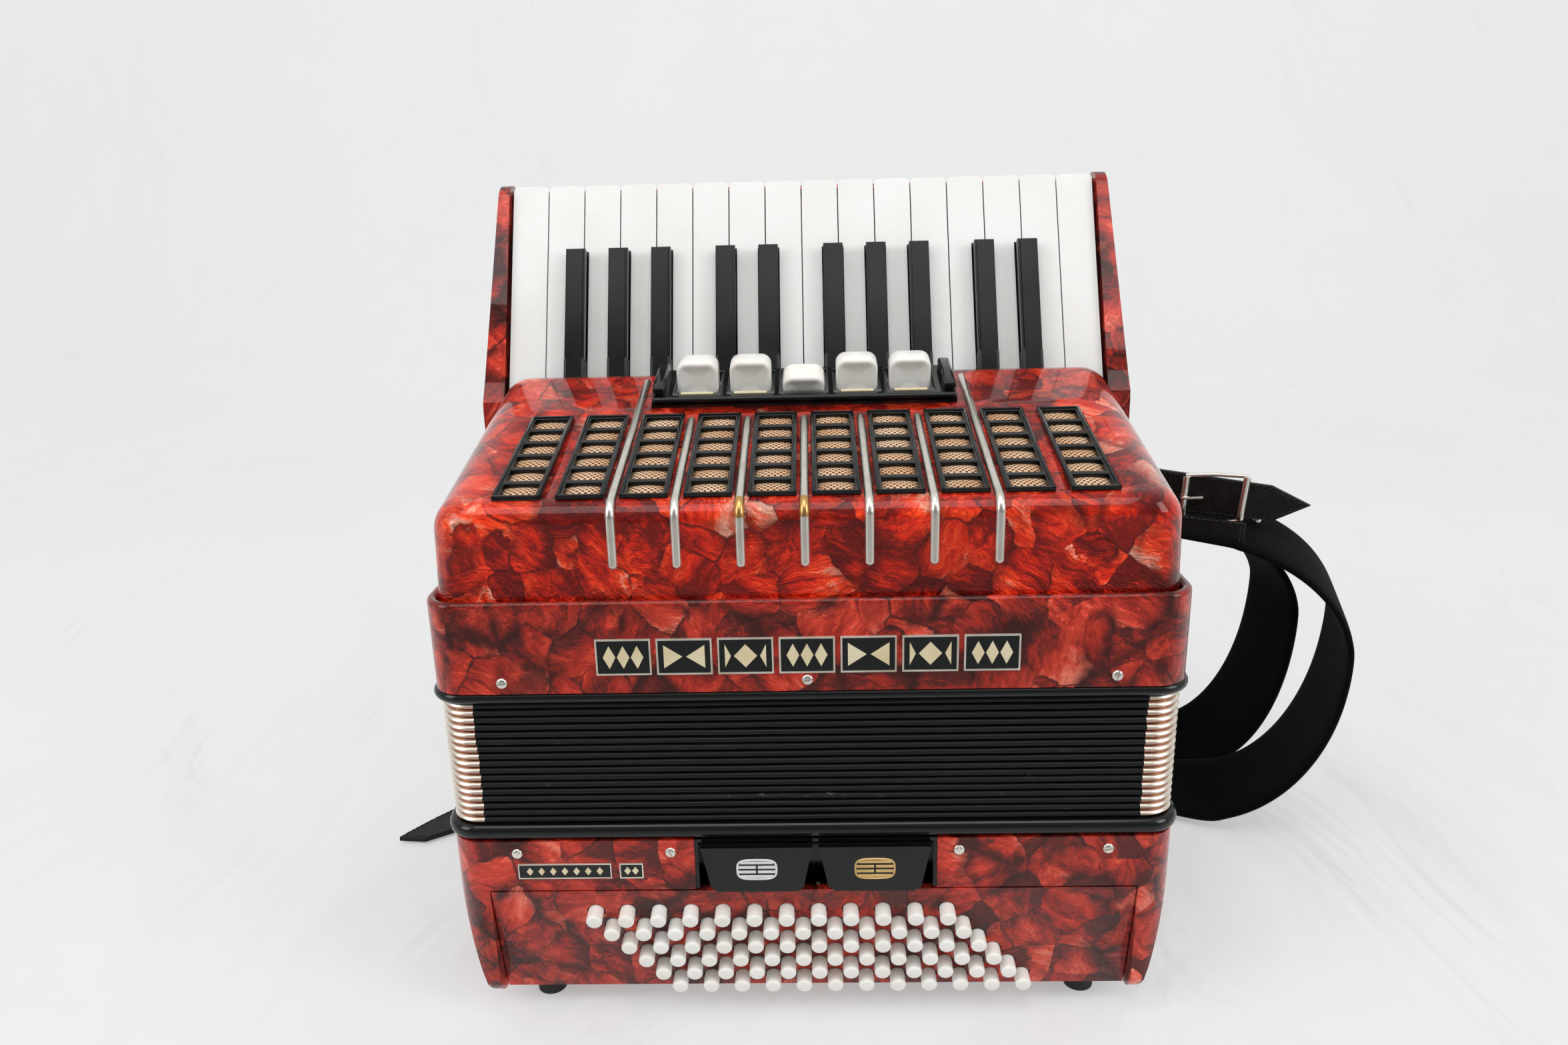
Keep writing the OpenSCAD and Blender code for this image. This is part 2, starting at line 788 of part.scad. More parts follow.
// Frame of the strap loops: X runs out to the side, Y up, Z back through the strap's width
module strap_plane() {
    translate([strap_x, strap_y, 0]) rotate([90, 0, -strap_swing]) mirror([0, 0, 1]) children();
}

// Case position of a point given by its distance out, its height and its distance back
function strap_point(out, z, back) =
    [strap_x + out * cos(strap_swing) + back * sin(strap_swing),
     strap_y - out * sin(strap_swing) + back * cos(strap_swing), z];

// Point at an angle on one edge of a hanging loop, an oval with its own rise and drop
function loop_point(a, edge) =
    strap_point(edge[0][0] + edge[1] * cos(a), edge[0][1] + edge[a > 0 ? 2 : 3] * sin(a), edge[4]);

// Pair of edge points across the case, at one x and one height
function run_pair(x, y, w, z) = [[x, y, z], [x, y + w, z]];

// Front strap: from its bracket over the loop, along the floor and up to the left bracket
function front_strap_path() = concat(
    [[[118, front_run - 1, 174], [118, front_run + strap_end_w - 1, 178]],
     [[150, strap_y - 2, 173], [158, strap_y + 32, 180]]],
    [for (a = loop_angles) [loop_point(a, front_near), loop_point(a, front_far)]],
    [[strap_point(30, strap_rest_z, 4), strap_point(30, 12, strap_w + 2)],
     [[130, front_run + 2, strap_rest_z], [130, front_run + strap_w + 1, strap_rest_z + 3]],
     run_pair(60, front_run, strap_w, strap_rest_z),
     run_pair(-60, front_run, strap_w - 3, strap_rest_z),
     run_pair(-112, front_run, strap_w - 8, strap_rest_z + 1),
     run_pair(-124, front_run, strap_end_w + 1, 9),
     run_pair(-128, front_run, strap_end_w, 20),
     run_pair(-129, front_run, strap_end_w, 60),
     run_pair(-129, front_run, strap_end_w, bracket_z - 10)]);

// Rear strap: from its bracket over the loop and along the floor to the left
function rear_strap_path() = concat(
    [run_pair(88, front_run, strap_end_w, 158),
     [[140, strap_y + 12, 160], [140, strap_y + 42, 162]]],
    [for (a = loop_angles) [loop_point(a, rear_near), loop_point(a, rear_far)]],
    [[[170, rear_run - 3, strap_rest_z + 6], [160, rear_run + strap_w - 12, 20]],
     run_pair(100, rear_run, strap_w - 1, strap_rest_z),
     run_pair(0, rear_run, strap_w, strap_rest_z),
     run_pair(-130, rear_run, strap_w - 3, strap_rest_z)]);

// Four corners of the strap's section at every pair of edge points
function band_points(pairs) = [
    for (i = [0 : len(pairs) - 1])
        let (before = pairs[max(i - 1, 0)], after = pairs[min(i + 1, len(pairs) - 1)],
             near = pairs[i][0], far = pairs[i][1],
             out = cross(after[0] + after[1] - before[0] - before[1], far - near),
             half = out / norm(out) * strap_t / 2)
        each [near + half, near - half, far - half, far + half]];

// Strap of even thickness between two edges
module band(pairs) {
    end = 4 * (len(pairs) - 1);
    polyhedron(band_points(pairs), concat(
        [[0, 1, 2, 3]],
        [for (i = [0 : 4 : end - 4], k = [0 : 3])
            let (a = i + k, b = i + (k + 1) % 4)
            each [[a, b + 4, b], [a, a + 4, b + 4]]],
        [[end + 3, end + 2, end + 1, end]]));
}

// The front strap ends in a buckled tongue; the rear one ends in a loose tail on the floor
module shoulder_straps() {
    color("black") {
        union() {
            band(front_strap_path());
            strap_plane() translate([0, 0, tongue_back]) linear_extrude(strap_t - 1)
                polygon([[-6, 172], [-6, 200], [30, 201.5], [94, 197.5], tongue_tip, [96, 179],
                         [40, 178.5], [8, 177]]);
        }
        union() {
            band(rear_strap_path());
            translate([0, 0, strap_rest_z - strap_t / 2 + 0.3]) linear_extrude(strap_t - 0.8)
                polygon([tail_tip, [-219, 141.5], [-206, 150], [-140, rear_run + 1],
                         [-120, rear_run + 5], [-120, rear_run + 31], [-140, rear_run + 30],
                         [-222, 160]]);
        }
    }
}

// Bracket on the back wall that a strap end hooks into
module strap_bracket(x, z) {
    translate([x, case_d, z]) {
        translate([-12, 0, -7]) cube([24, 1.5, 14]);
        translate([-9, 1, -1.5]) cube([18, 2.8, 3]);
    }
}

// The four brackets, and the buckle that lies on the front strap's tongue
module strap_fittings() {
    buckle_w = 32;
    buckle_h = 24;
    buckle_t = 3;
    bar = 4;
    color("silver") {
        strap_bracket(bracket_x, front_bracket_z);
        strap_bracket(rear_bracket_x, rear_bracket_z);
        strap_bracket(-bracket_x, bracket_z);
        strap_bracket(-rear_bracket_x, bracket_z);
        strap_plane() translate([buckle_start, buckle_z, tongue_back - buckle_t - 0.1])
            linear_extrude(buckle_t) difference() {
                square([buckle_w, buckle_h]);
                translate([bar, bar]) square([buckle_w - 2 * bar, buckle_h - 2 * bar]);
            }
    }
}

// ---------- Drawing ----------

placed() {
    bass_box();
    button_board();
    register_bay();
    bass_bellows_frame();
    bass_reed_bank();
    bass_feet();
    hand_strap();
    bass_screws();
    bellows();
    register_paddle(-1);  // bass_register_left
    register_paddle(1);  // bass_register_right
    for (r = [1 : button_rows])
        button_row(r);
    treble_bellows_frame();
    treble_rim();
    treble_reed_bank();
    treble_screws();
    grille_cover();
    grille_panels();
    grille_strips();
    register_frame();
    keyboard_base();
    key_axle();
    strap_fittings();
    shoulder_straps();
    for (k = [1 : 5])
        register_rocker(k, k == 3);
    for (k = [1 : white_keys])
        white_key(k);
    for (k = [1 : len(black_after)])
        black_key(k);
}
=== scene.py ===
"""Looks of a small red piano accordion that stands on its bass end.

Most pieces are drawn in millimetres on one of the object's own working planes (the case,
the slope of the grille cover, the keyboard, the button board, the hanging straps) and are
then carried into the row frame, in metres, by that plane's matrix.
"""

import math
import random

import bmesh
import bpy
from mathutils import Matrix, Vector, noise


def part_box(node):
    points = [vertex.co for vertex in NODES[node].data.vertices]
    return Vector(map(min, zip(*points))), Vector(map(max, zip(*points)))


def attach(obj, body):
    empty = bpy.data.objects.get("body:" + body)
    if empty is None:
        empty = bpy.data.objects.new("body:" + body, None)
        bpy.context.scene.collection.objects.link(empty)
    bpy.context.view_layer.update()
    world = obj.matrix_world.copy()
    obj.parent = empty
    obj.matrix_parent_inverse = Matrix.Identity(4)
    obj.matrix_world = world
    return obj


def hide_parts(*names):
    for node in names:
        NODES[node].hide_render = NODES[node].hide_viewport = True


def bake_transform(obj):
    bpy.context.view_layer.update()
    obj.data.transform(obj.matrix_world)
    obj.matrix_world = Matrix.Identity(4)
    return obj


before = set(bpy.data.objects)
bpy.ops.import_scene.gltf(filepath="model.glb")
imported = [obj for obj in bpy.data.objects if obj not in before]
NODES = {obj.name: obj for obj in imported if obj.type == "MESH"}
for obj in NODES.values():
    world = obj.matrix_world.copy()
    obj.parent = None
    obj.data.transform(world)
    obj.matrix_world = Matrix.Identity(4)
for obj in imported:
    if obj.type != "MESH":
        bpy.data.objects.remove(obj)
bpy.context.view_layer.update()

MM = 0.001
BASS = "bass_section"
TREBLE = "treble_section"


# ---------- Working planes ----------

# Where the sloping faces lie, in millimetres and degrees
COVER_RISE = 37.5
COVER_SLOPE = math.radians(12.4)
KEY_BASE_Y = 145.7
KEY_BASE_RISE = 62.4
KEY_LEAN = math.radians(25.5)
BOARD_SLOPE = math.radians(10.5)
BOARD_THICK = 3.0


def span(node):
    """Lowest and highest corner of a CAD node in millimetres from the case's own origin."""
    low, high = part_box(node)
    return CASE.inverted() @ low, CASE.inverted() @ high


def plane(origin, along, out):
    """Matrix of a working plane: X to the right, Y along it and Z out of it, in millimetres."""
    along = along.normalized()
    out = out.normalized()
    side = along.cross(out)
    turn = Matrix((side, along, out)).transposed().to_4x4()
    return CASE @ Matrix.Translation(origin) @ turn


def case_frame():
    """Case axes: zero at mid-width, at the front face and on the floor."""
    low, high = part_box("bass_bellows_frame")
    origin = Vector(((low.x + high.x) / 2, low.y, 0))
    return Matrix.Translation(origin) @ Matrix.Scale(MM, 4)


def slope_frame():
    """The cover's top, from the line where it would meet the cover's front."""
    up_slope = Vector((0, math.cos(COVER_SLOPE), math.sin(COVER_SLOPE)))
    return plane(COVER_FRONT, up_slope, Vector((0, -math.sin(COVER_SLOPE), math.cos(COVER_SLOPE))))


def keys_frame():
    """The tops of the white keys, from the line where they leave the cover."""
    start = Vector((0, KEY_BASE_Y, span("treble_rim")[1].z + KEY_BASE_RISE))
    up_keys = Vector((0, math.sin(KEY_LEAN), math.cos(KEY_LEAN)))
    return plane(start, up_keys, Vector((0, -math.cos(KEY_LEAN), math.sin(KEY_LEAN))))


def board_frame():
    """The button board, with Y up the board and Z out of it, from its front top edge."""
    rear_top = span("button_board")[1].z
    top = Vector((0, 0, rear_top - BOARD_THICK * math.sin(BOARD_SLOPE)))
    up_board = Vector((0, -math.sin(BOARD_SLOPE), math.cos(BOARD_SLOPE)))
    return plane(top, up_board, Vector((0, -math.cos(BOARD_SLOPE), -math.sin(BOARD_SLOPE))))


CASE = case_frame()
COVER_FRONT = Vector((0, span("grille_cover")[0].y, span("treble_rim")[1].z + COVER_RISE))
SLOPE = slope_frame()
KEYS = keys_frame()
BOARD = board_frame()
FRONT = plane(Vector((0, 0, 0)), Vector((0, 0, 1)), Vector((0, -1, 0)))
CASE_HALF = span("bass_bellows_frame")[1].x
BACK_DEPTH = span("bass_bellows_frame")[1].y


# ---------- Camera, light and floor ----------


def add_camera():
    """Wide lens, a little above the object and turned slightly to its left."""
    eye = Vector((3.4, -415.4, 355.3))
    pitch = math.radians(16.83)
    yaw = math.radians(-1.55)
    roll = math.radians(-1.42)
    flat = Vector((math.sin(yaw), math.cos(yaw), 0))
    ahead = flat * math.cos(pitch) - Vector((0, 0, math.sin(pitch)))
    level = Vector((math.cos(yaw), -math.sin(yaw), 0))
    side = math.cos(roll) * level + math.sin(roll) * level.cross(ahead)
    turn = Matrix((side, side.cross(ahead), -ahead)).transposed().to_4x4()
    data = bpy.data.cameras.new("camera")
    data.sensor_width = 36
    data.lens = 26.02
    data.clip_start = 0.01
    camera = bpy.data.objects.new("camera", data)
    camera.matrix_world = Matrix.Translation(CASE @ eye) @ turn
    bpy.context.scene.collection.objects.link(camera)
    bpy.context.scene.camera = camera


def add_window(name, position, size, power):
    """Large soft light that faces the middle of the object."""
    data = bpy.data.lights.new(name, "AREA")
    data.shape = "RECTANGLE"
    data.size, data.size_y = size
    data.energy = power
    light = bpy.data.objects.new(name, data)
    light.location = position
    ahead = Vector((0, 0, 0.2)) - Vector(position)
    light.rotation_euler = ahead.to_track_quat("-Z", "Y").to_euler()
    bpy.context.scene.collection.objects.link(light)


def add_studio():
    """A pale sky that is dim in front and bright above, and three soft windows of light."""
    world = bpy.data.worlds.new("studio")
    world.use_nodes = True
    tree = world.node_tree
    sky = tree.nodes["Background"]
    where = add_node(tree, "ShaderNodeTexCoord").outputs["Generated"]
    parts = add_node(tree, "ShaderNodeSeparateXYZ", {0: where})
    rising = maths(tree, "MULTIPLY", parts.outputs["Z"], 0.36)
    behind = maths(tree, "MULTIPLY", parts.outputs["Y"], 0.30)
    glow = maths(tree, "ADD", maths(tree, "ADD", rising, behind), 0.42)
    tree.links.new(ramp(tree, glow, [(0.1, 0.14), (0.36, 0.38), (0.9, 1.0)]), sky.inputs["Color"])
    sky.inputs["Strength"].default_value = 0.95
    bpy.context.scene.world = world
    bpy.context.scene.view_settings.view_transform = "Standard"
    add_window("top_window", (-0.1, -0.75, 1.7), (1.6, 1.0), 12)
    add_window("left_window", (-1.6, -1.0, 1.0), (0.8, 1.2), 11)
    add_window("right_window", (1.6, -1.0, 1.0), (0.8, 1.2), 13)


def add_floor():
    """A sweep: flat under the object, then curving up into a far wall."""
    bm = bmesh.new()
    half = 6
    bend_r = 1.2
    bend_start = 1.4
    bend = arc(bend_r, -90, 0, 16, (bend_start, bend_r))
    rows = [(-4.0, 0.0), *bend, (bend_start + bend_r, 5.0)]
    loft(bm, [[Vector((x, y, z)) for x in (-half, half)] for y, z in rows], caps=False, around=False)
    mesh = bpy.data.meshes.new("floor")
    bm.to_mesh(mesh)
    bm.free()
    for polygon in mesh.polygons:
        polygon.use_smooth = True
    floor = bpy.data.objects.new("floor", mesh)
    floor.data.materials.append(floor_cloth())
    bpy.context.scene.collection.objects.link(floor)


# ---------- Material helpers ----------


def new_material(name, **sockets):
    """A Principled material with constants set on its own sockets."""
    material = bpy.data.materials.new(name)
    material.use_nodes = True
    tree = material.node_tree
    tree.nodes.clear()
    output = tree.nodes.new("ShaderNodeOutputMaterial")
    shader = tree.nodes.new("ShaderNodeBsdfPrincipled")
    tree.links.new(shader.outputs[0], output.inputs[0])
    for socket, value in sockets.items():
        shader.inputs[socket.replace("_", " ")].default_value = value
    return material, tree, shader


def add_node(tree, kind, inputs=None, **settings):
    """A node with its settings, and its inputs linked or set."""
    node = tree.nodes.new(kind)
    for key, value in settings.items():
        setattr(node, key, value)
    for socket, value in (inputs or {}).items():
        if isinstance(value, bpy.types.NodeSocket):
            tree.links.new(value, node.inputs[socket])
        else:
            node.inputs[socket].default_value = value
    return node


def position(tree, stretch=(1, 1, 1), turn=(0, 0, 0)):
    """Object coordinates, stretched and turned."""
    where = add_node(tree, "ShaderNodeTexCoord").outputs["Object"]
    inputs = {"Vector": where, "Scale": stretch, "Rotation": turn}
    return add_node(tree, "ShaderNodeMapping", inputs).outputs[0]


def noise_of(tree, vector, scale, detail=2.0, roughness=0.5, distortion=0.0):
    """Noise node; its outputs are Fac and Color."""
    inputs = {"Vector": vector, "Scale": scale, "Detail": detail}
    inputs.update(Roughness=roughness, Distortion=distortion)
    return add_node(tree, "ShaderNodeTexNoise", inputs)


def ramp(tree, value, stops, smooth=False):
    """Colour or grey ramp from (place, colour) stops."""
    node = add_node(tree, "ShaderNodeValToRGB", {"Fac": value})
    ramp_data = node.color_ramp
    ramp_data.interpolation = "EASE" if smooth else "LINEAR"
    while len(ramp_data.elements) < len(stops):
        ramp_data.elements.new(0.5)
    for element, (place, colour) in zip(ramp_data.elements, stops):
        element.position = place
        grey = isinstance(colour, (int, float))
        element.color = (colour, colour, colour, 1) if grey else (*colour, 1)
    return node.outputs["Color"]


def maths(tree, operation, a, b=0.0):
    """Result of a Math node on two numbers."""
    return add_node(tree, "ShaderNodeMath", {0: a, 1: b}, operation=operation).outputs[0]


def vectors(tree, operation, a, b):
    """Result of a Vector Math node on two vectors."""
    return add_node(tree, "ShaderNodeVectorMath", {0: a, 1: b}, operation=operation).outputs[0]


def scaled(tree, vector, factor):
    """A vector times a plain number."""
    inputs = {0: vector, "Scale": factor}
    return add_node(tree, "ShaderNodeVectorMath", inputs, operation="SCALE").outputs[0]


def centred(tree, colour):
    """A random colour moved to lie round zero, as a direction."""
    return vectors(tree, "SUBTRACT", colour, (0.5, 0.5, 0.5))


def mixed(tree, factor, a, b):
    """Mix of two colours, each a socket or an RGB tuple."""
    node = add_node(tree, "ShaderNodeMix", data_type="RGBA")
    for socket, value in ((0, factor), (6, a), (7, b)):
        if isinstance(value, bpy.types.NodeSocket):
            tree.links.new(value, node.inputs[socket])
        else:
            node.inputs[socket].default_value = (*value, 1)
    return node.outputs[2]


def feed(tree, shader, **sockets):
    """Links each value to the shader's socket of that name."""
    for socket, value in sockets.items():
        tree.links.new(value, shader.inputs[socket.replace("_", " ")])


def bumped(tree, shader, height, strength, distance, **normal):
    """Bump on the shader from a height, with the distance in metres."""
    inputs = {"Height": height, "Strength": strength, "Distance": distance, **normal}
    feed(tree, shader, Normal=add_node(tree, "ShaderNodeBump", inputs).outputs[0])


# ---------- Materials ----------


def floor_cloth():
    """White cotton sheet with soft folds. Painted shade darkens it in front, and a painted glow
    (emission) brightens it further back.
    """
    material, tree, shader = new_material("floor_cloth", Roughness=0.95, Specular_IOR_Level=0.1)
    where = position(tree)
    parts = add_node(tree, "ShaderNodeSeparateXYZ", {0: where})
    cloud = noise_of(tree, where, 1.6, 4).outputs["Fac"]
    cloth = ramp(tree, cloud, [(0.3, (0.41, 0.415, 0.415)), (0.7, (0.44, 0.445, 0.445))])
    # Painted shade: near falls from 1 under the object to 0 in front of it. There the floor is painted a
    # darker grey and given less glow.
    forward = maths(tree, "ADD", parts.outputs["Y"], 1.0)
    near = ramp(tree, forward, [(0.45, 0.0), (0.84, 1.0)], smooth=True)
    # Painted light: the floor glows by emission, more towards the back and up the far wall.
    back = maths(tree, "MULTIPLY", parts.outputs["Y"], 0.30)
    reach = maths(tree, "ADD", back, maths(tree, "MULTIPLY", parts.outputs["Z"], 0.20))
    glow = ramp(tree, reach, [(0.0, 0.37), (0.42, 0.46), (0.94, 0.56)])
    painted_glow_front_dimming = maths(tree, "ADD", maths(tree, "MULTIPLY", near, 0.74), 0.26)
    feed(
        tree,
        shader,
        Base_Color=mixed(tree, near, (0.27, 0.27, 0.27), cloth),
        Emission_Strength=maths(tree, "MULTIPLY", glow, painted_glow_front_dimming),
    )
    shader.inputs["Emission Color"].default_value = (1, 1, 1, 1)
    long_folds = noise_of(tree, position(tree, (1, 0.45, 1), (0, 0, 0.7)), 2.4, 3, 0.5, 1.0)
    creases = noise_of(tree, position(tree, (1, 0.6, 1), (0, 0, -0.5)), 7.0, 3, 0.55, 1.6)
    small = maths(tree, "MULTIPLY", creases.outputs["Fac"], 0.2)
    bumped(tree, shader, maths(tree, "ADD", long_folds.outputs["Fac"], small), 0.9, 0.055)
    return material


FLAKES_PER_METRE = 52


def flake_cells(tree, where):
    """Voronoi shards over gently bent coordinates: bent position, cells and edge distance."""
    bent = where
    for scale, detail, roughness, reach in ((26, 2, 0.5, 0.016), (150, 3, 0.6, 0.0035)):
        bend = noise_of(tree, where, scale, detail, roughness).outputs["Color"]
        bent = vectors(tree, "ADD", bent, scaled(tree, centred(tree, bend), reach))
    inputs = {"Vector": bent, "Scale": FLAKES_PER_METRE}
    cells = add_node(tree, "ShaderNodeTexVoronoi", inputs)
    edges = add_node(tree, "ShaderNodeTexVoronoi", inputs, feature="DISTANCE_TO_EDGE")
    return bent, cells, edges.outputs["Distance"]


def satin_streaks(tree, where, tint, stretch, scale):
    """Long streaks that run in a different direction in every flake."""
    turn = add_node(tree, "ShaderNodeSeparateColor", {"Color": tint}).outputs[1]
    angle = maths(tree, "MULTIPLY", turn, 2 * math.pi)
    inputs = {"Vector": where, "Axis": centred(tree, tint), "Angle": angle}
    turned = add_node(tree, "ShaderNodeVectorRotate", inputs, rotation_type="AXIS_ANGLE")
    inputs = {"Vector": turned.outputs[0], "Scale": (1, stretch, stretch)}
    mapping = add_node(tree, "ShaderNodeMapping", inputs)
    return noise_of(tree, mapping.outputs[0], scale, 4, 0.6, 1.1).outputs["Fac"]


def pearl_shade(tree, bent, cells, silk, thread):
    """Brightness of the pearl: each flake's level and its streaks, plus a slope across it. The slope is
    painted shade, dark on one side of each flake as over a curved plate.
    """
    tint = cells.outputs["Color"]
    # Painted shade: the slope across each flake darkens one side of it, like light falling over a curved
    # plate.
    inside = vectors(tree, "SUBTRACT", bent, cells.outputs["Position"])
    inputs = {0: inside, 1: centred(tree, tint)}
    across = add_node(tree, "ShaderNodeVectorMath", inputs, operation="DOT_PRODUCT")
    level = add_node(tree, "ShaderNodeSeparateColor", {"Color": tint}).outputs[0]
    shade = maths(tree, "MULTIPLY", maths(tree, "SUBTRACT", level, 0.5), 0.13)
    for part, share in ((silk, 0.80), (thread, 0.44), (across.outputs["Value"], 26)):
        shade = maths(tree, "ADD", shade, maths(tree, "MULTIPLY", part, share))
    return shade


def pearl_cracks(tree, where, edge, vein, bruise):
    """Patches of dark bruise along the flakes' edges, and broken cracks between the flakes."""
    patch = noise_of(tree, where, 42, 3, 0.6, 0.6).outputs["Fac"]
    patches = ramp(tree, patch, [(0.44, 0.0), (0.60, bruise)])
    near_edge = ramp(tree, edge, [(0.0, 1.0), (0.30, 0.0)], smooth=True)
    bruised = maths(tree, "MULTIPLY", near_edge, patches)
    crack = ramp(tree, edge, [(0.0, 1.0), (0.045, 0.0)], smooth=True)
    broken = ramp(tree, noise_of(tree, where, 60, 3).outputs["Fac"], [(0.44, 0.0), (0.56, vein)])
    return maths(tree, "MAXIMUM", bruised, maths(tree, "MULTIPLY", crack, broken))


def pearloid(name, colours, vein, bruise, coat_ior):
    """Pearl celluloid in four colours, from the darkest to the flashes of the flakes. The brightest
    colour is a painted highlight: the flakes' glints put into the colour.
    """
    material, tree, shader = new_material(
        name, Metallic=0.45, Specular_IOR_Level=0.1, Coat_Weight=1.0, Coat_Roughness=0.02
    )
    shader.inputs["Coat IOR"].default_value = coat_ior
    where = position(tree)
    bent, cells, edge = flake_cells(tree, where)
    tint = cells.outputs["Color"]
    silk = satin_streaks(tree, bent, tint, 3.6, 26)
    thread = satin_streaks(tree, bent, tint, 5.0, 75)
    shade = pearl_shade(tree, bent, cells, silk, thread)
    # The top stop of this ramp is a painted highlight: the flakes' glints in the base colour.
    pearl = ramp(tree, shade, list(zip((0.46, 0.61, 0.76, 0.92), colours)))
    cracks = pearl_cracks(tree, where, edge, vein, bruise)
    colour = mixed(tree, cracks, pearl, tuple(c * 0.35 for c in colours[0]))
    feed(tree, shader, Base_Color=colour, Roughness=ramp(tree, silk, [(0.3, 0.40), (0.7, 0.22)]))
    geometry = add_node(tree, "ShaderNodeNewGeometry").outputs["Normal"]
    tilted = vectors(tree, "ADD", geometry, scaled(tree, centred(tree, tint), 0.5))
    facet = add_node(tree, "ShaderNodeVectorMath", {0: tilted}, operation="NORMALIZE")
    streaks = maths(tree, "ADD", silk, thread)
    bumped(tree, shader, streaks, 0.7, 0.003, Normal=facet.outputs[0])
    return material


def black_gloss(name, tone=0.004, roughness=0.09, shine=0.4):
    """Polished black lacquer with faint dust and hairlines."""
    material, tree, shader = new_material(name, Specular_IOR_Level=shine)
    where = position(tree)
    dust = noise_of(tree, where, 900, 3, 0.7).outputs["Fac"]
    smear = noise_of(tree, where, 28, 3).outputs["Fac"]
    feed(
        tree,
        shader,
        Base_Color=ramp(tree, dust, [(0.64, (tone * 0.8, tone, tone)), (0.82, 0.02)]),
        Roughness=ramp(tree, smear, [(0.3, roughness), (0.75, roughness + 0.14)]),
    )
    bumped(tree, shader, dust, 0.04, 0.0002)
    return material


def bellows_card():
    """Black bellows cloth, worn pale along some ridges."""
    material, tree, shader = new_material("bellows_card", Specular_IOR_Level=0.25)
    long_wear = noise_of(tree, position(tree, (6, 40, 260)), 1.0, 4, 0.65).outputs["Fac"]
    scuff = noise_of(tree, position(tree, (60, 60, 400)), 1.6, 3, 0.7).outputs["Fac"]
    wear = maths(tree, "MULTIPLY", long_wear, scuff)
    black, dusty, worn = (0.004, 0.005, 0.006), (0.009, 0.010, 0.010), (0.10, 0.10, 0.085)
    feed(
        tree,
        shader,
        Base_Color=ramp(tree, wear, [(0.30, black), (0.40, dusty), (0.46, worn)]),
        Roughness=ramp(tree, long_wear, [(0.3, 0.34), (0.7, 0.55)]),
    )
    bumped(tree, shader, noise_of(tree, position(tree), 1400, 3, 0.6).outputs["Fac"], 0.25, 0.0002)
    return material


def nickel(name, colour=(0.80, 0.77, 0.70), stain=(0.36, 0.27, 0.17), amount=0.3, painted_red_reflection=0.0):
    """Old nickel plate, clouded with age. A painted reflection of the red bass box tints its downward
    faces red.
    """
    material, tree, shader = new_material(name, Metallic=1.0)
    where = position(tree)
    cloud = noise_of(tree, where, 120, 3, 0.5).outputs["Fac"]
    plated = mixed(tree, ramp(tree, cloud, [(0.50, 0.0), (0.72, amount)]), colour, stain)
    # Painted reflection: faces that turn down are tinted red, as if they mirrored the red bass box below
    # them.
    normal = add_node(tree, "ShaderNodeNewGeometry").outputs["Normal"]
    upward = add_node(tree, "ShaderNodeSeparateXYZ", {0: normal}).outputs["Z"]
    turned_down = maths(tree, "SUBTRACT", 0.55, upward)
    under = ramp(tree, turned_down, [(0.35, 0.0), (0.85, painted_red_reflection)], smooth=True)
    reflected_red_tint = (0.46, 0.17, 0.11)
    rough = ramp(tree, cloud, [(0.3, 0.22), (0.7, 0.34)])
    feed(tree, shader, Base_Color=mixed(tree, under, plated, reflected_red_tint), Roughness=rough)
    bumped(tree, shader, noise_of(tree, where, 400, 2, 0.5).outputs["Fac"], 0.01, 0.0001)
    return material


def plastic(name, colour, warm, roughness):
    """Moulded or covered plastic, slightly yellowed in patches and finely scratched."""
    material, tree, shader = new_material(
        name, Coat_Weight=0.35, Coat_Roughness=0.08, Subsurface_Weight=0.08, Subsurface_Scale=0.002
    )
    age = noise_of(tree, position(tree), 35, 3).outputs["Fac"]
    feed(
        tree,
        shader,
        Base_Color=mixed(tree, ramp(tree, age, [(0.35, 0.0), (0.8, 1.0)]), colour, warm),
        Roughness=ramp(tree, age, [(0.3, roughness), (0.7, roughness + 0.1)]),
    )
    scratches = noise_of(tree, position(tree, (900, 60, 60)), 1.0, 3, 0.7).outputs["Fac"]
    bumped(tree, shader, scratches, 0.05, 0.0002)
    return material


def wood(name, pale, deep):
    """Plain softwood with long grain."""
    material, tree, shader = new_material(name, Roughness=0.6)
    rings = noise_of(tree, position(tree, (4, 60, 60)), 1.0, 5, 0.6, 0.4).outputs["Fac"]
    feed(tree, shader, Base_Color=ramp(tree, rings, [(0.3, deep), (0.7, pale)]))
    bumped(tree, shader, rings, 0.2, 0.0004)
    return material


def rubber():
    """Dull black rubber with a coarse grain."""
    material, tree, shader = new_material("rubber", Roughness=0.75)
    grain = noise_of(tree, position(tree), 500, 3, 0.7).outputs["Fac"]
    feed(tree, shader, Base_Color=ramp(tree, grain, [(0.3, 0.012), (0.8, 0.03)]))
    bumped(tree, shader, grain, 0.3, 0.0004)
    return material


def leather():
    """Black grained leather, a little brown where it creases."""
    material, tree, shader = new_material("leather", Specular_IOR_Level=0.25)
    where = position(tree)
    cells = add_node(tree, "ShaderNodeTexVoronoi", {"Vector": where, "Scale": 900})
    crease = noise_of(tree, where, 160, 4, 0.6).outputs["Fac"]
    feed(
        tree,
        shader,
        Base_Color=ramp(tree, crease, [(0.3, 0.0036), (0.75, (0.012, 0.0114, 0.0108))]),
        Roughness=ramp(tree, crease, [(0.3, 0.42), (0.7, 0.62)]),
    )
    bumped(tree, shader, maths(tree, "ADD", cells.outputs["Distance"], crease), 0.35, 0.0004)
    return material


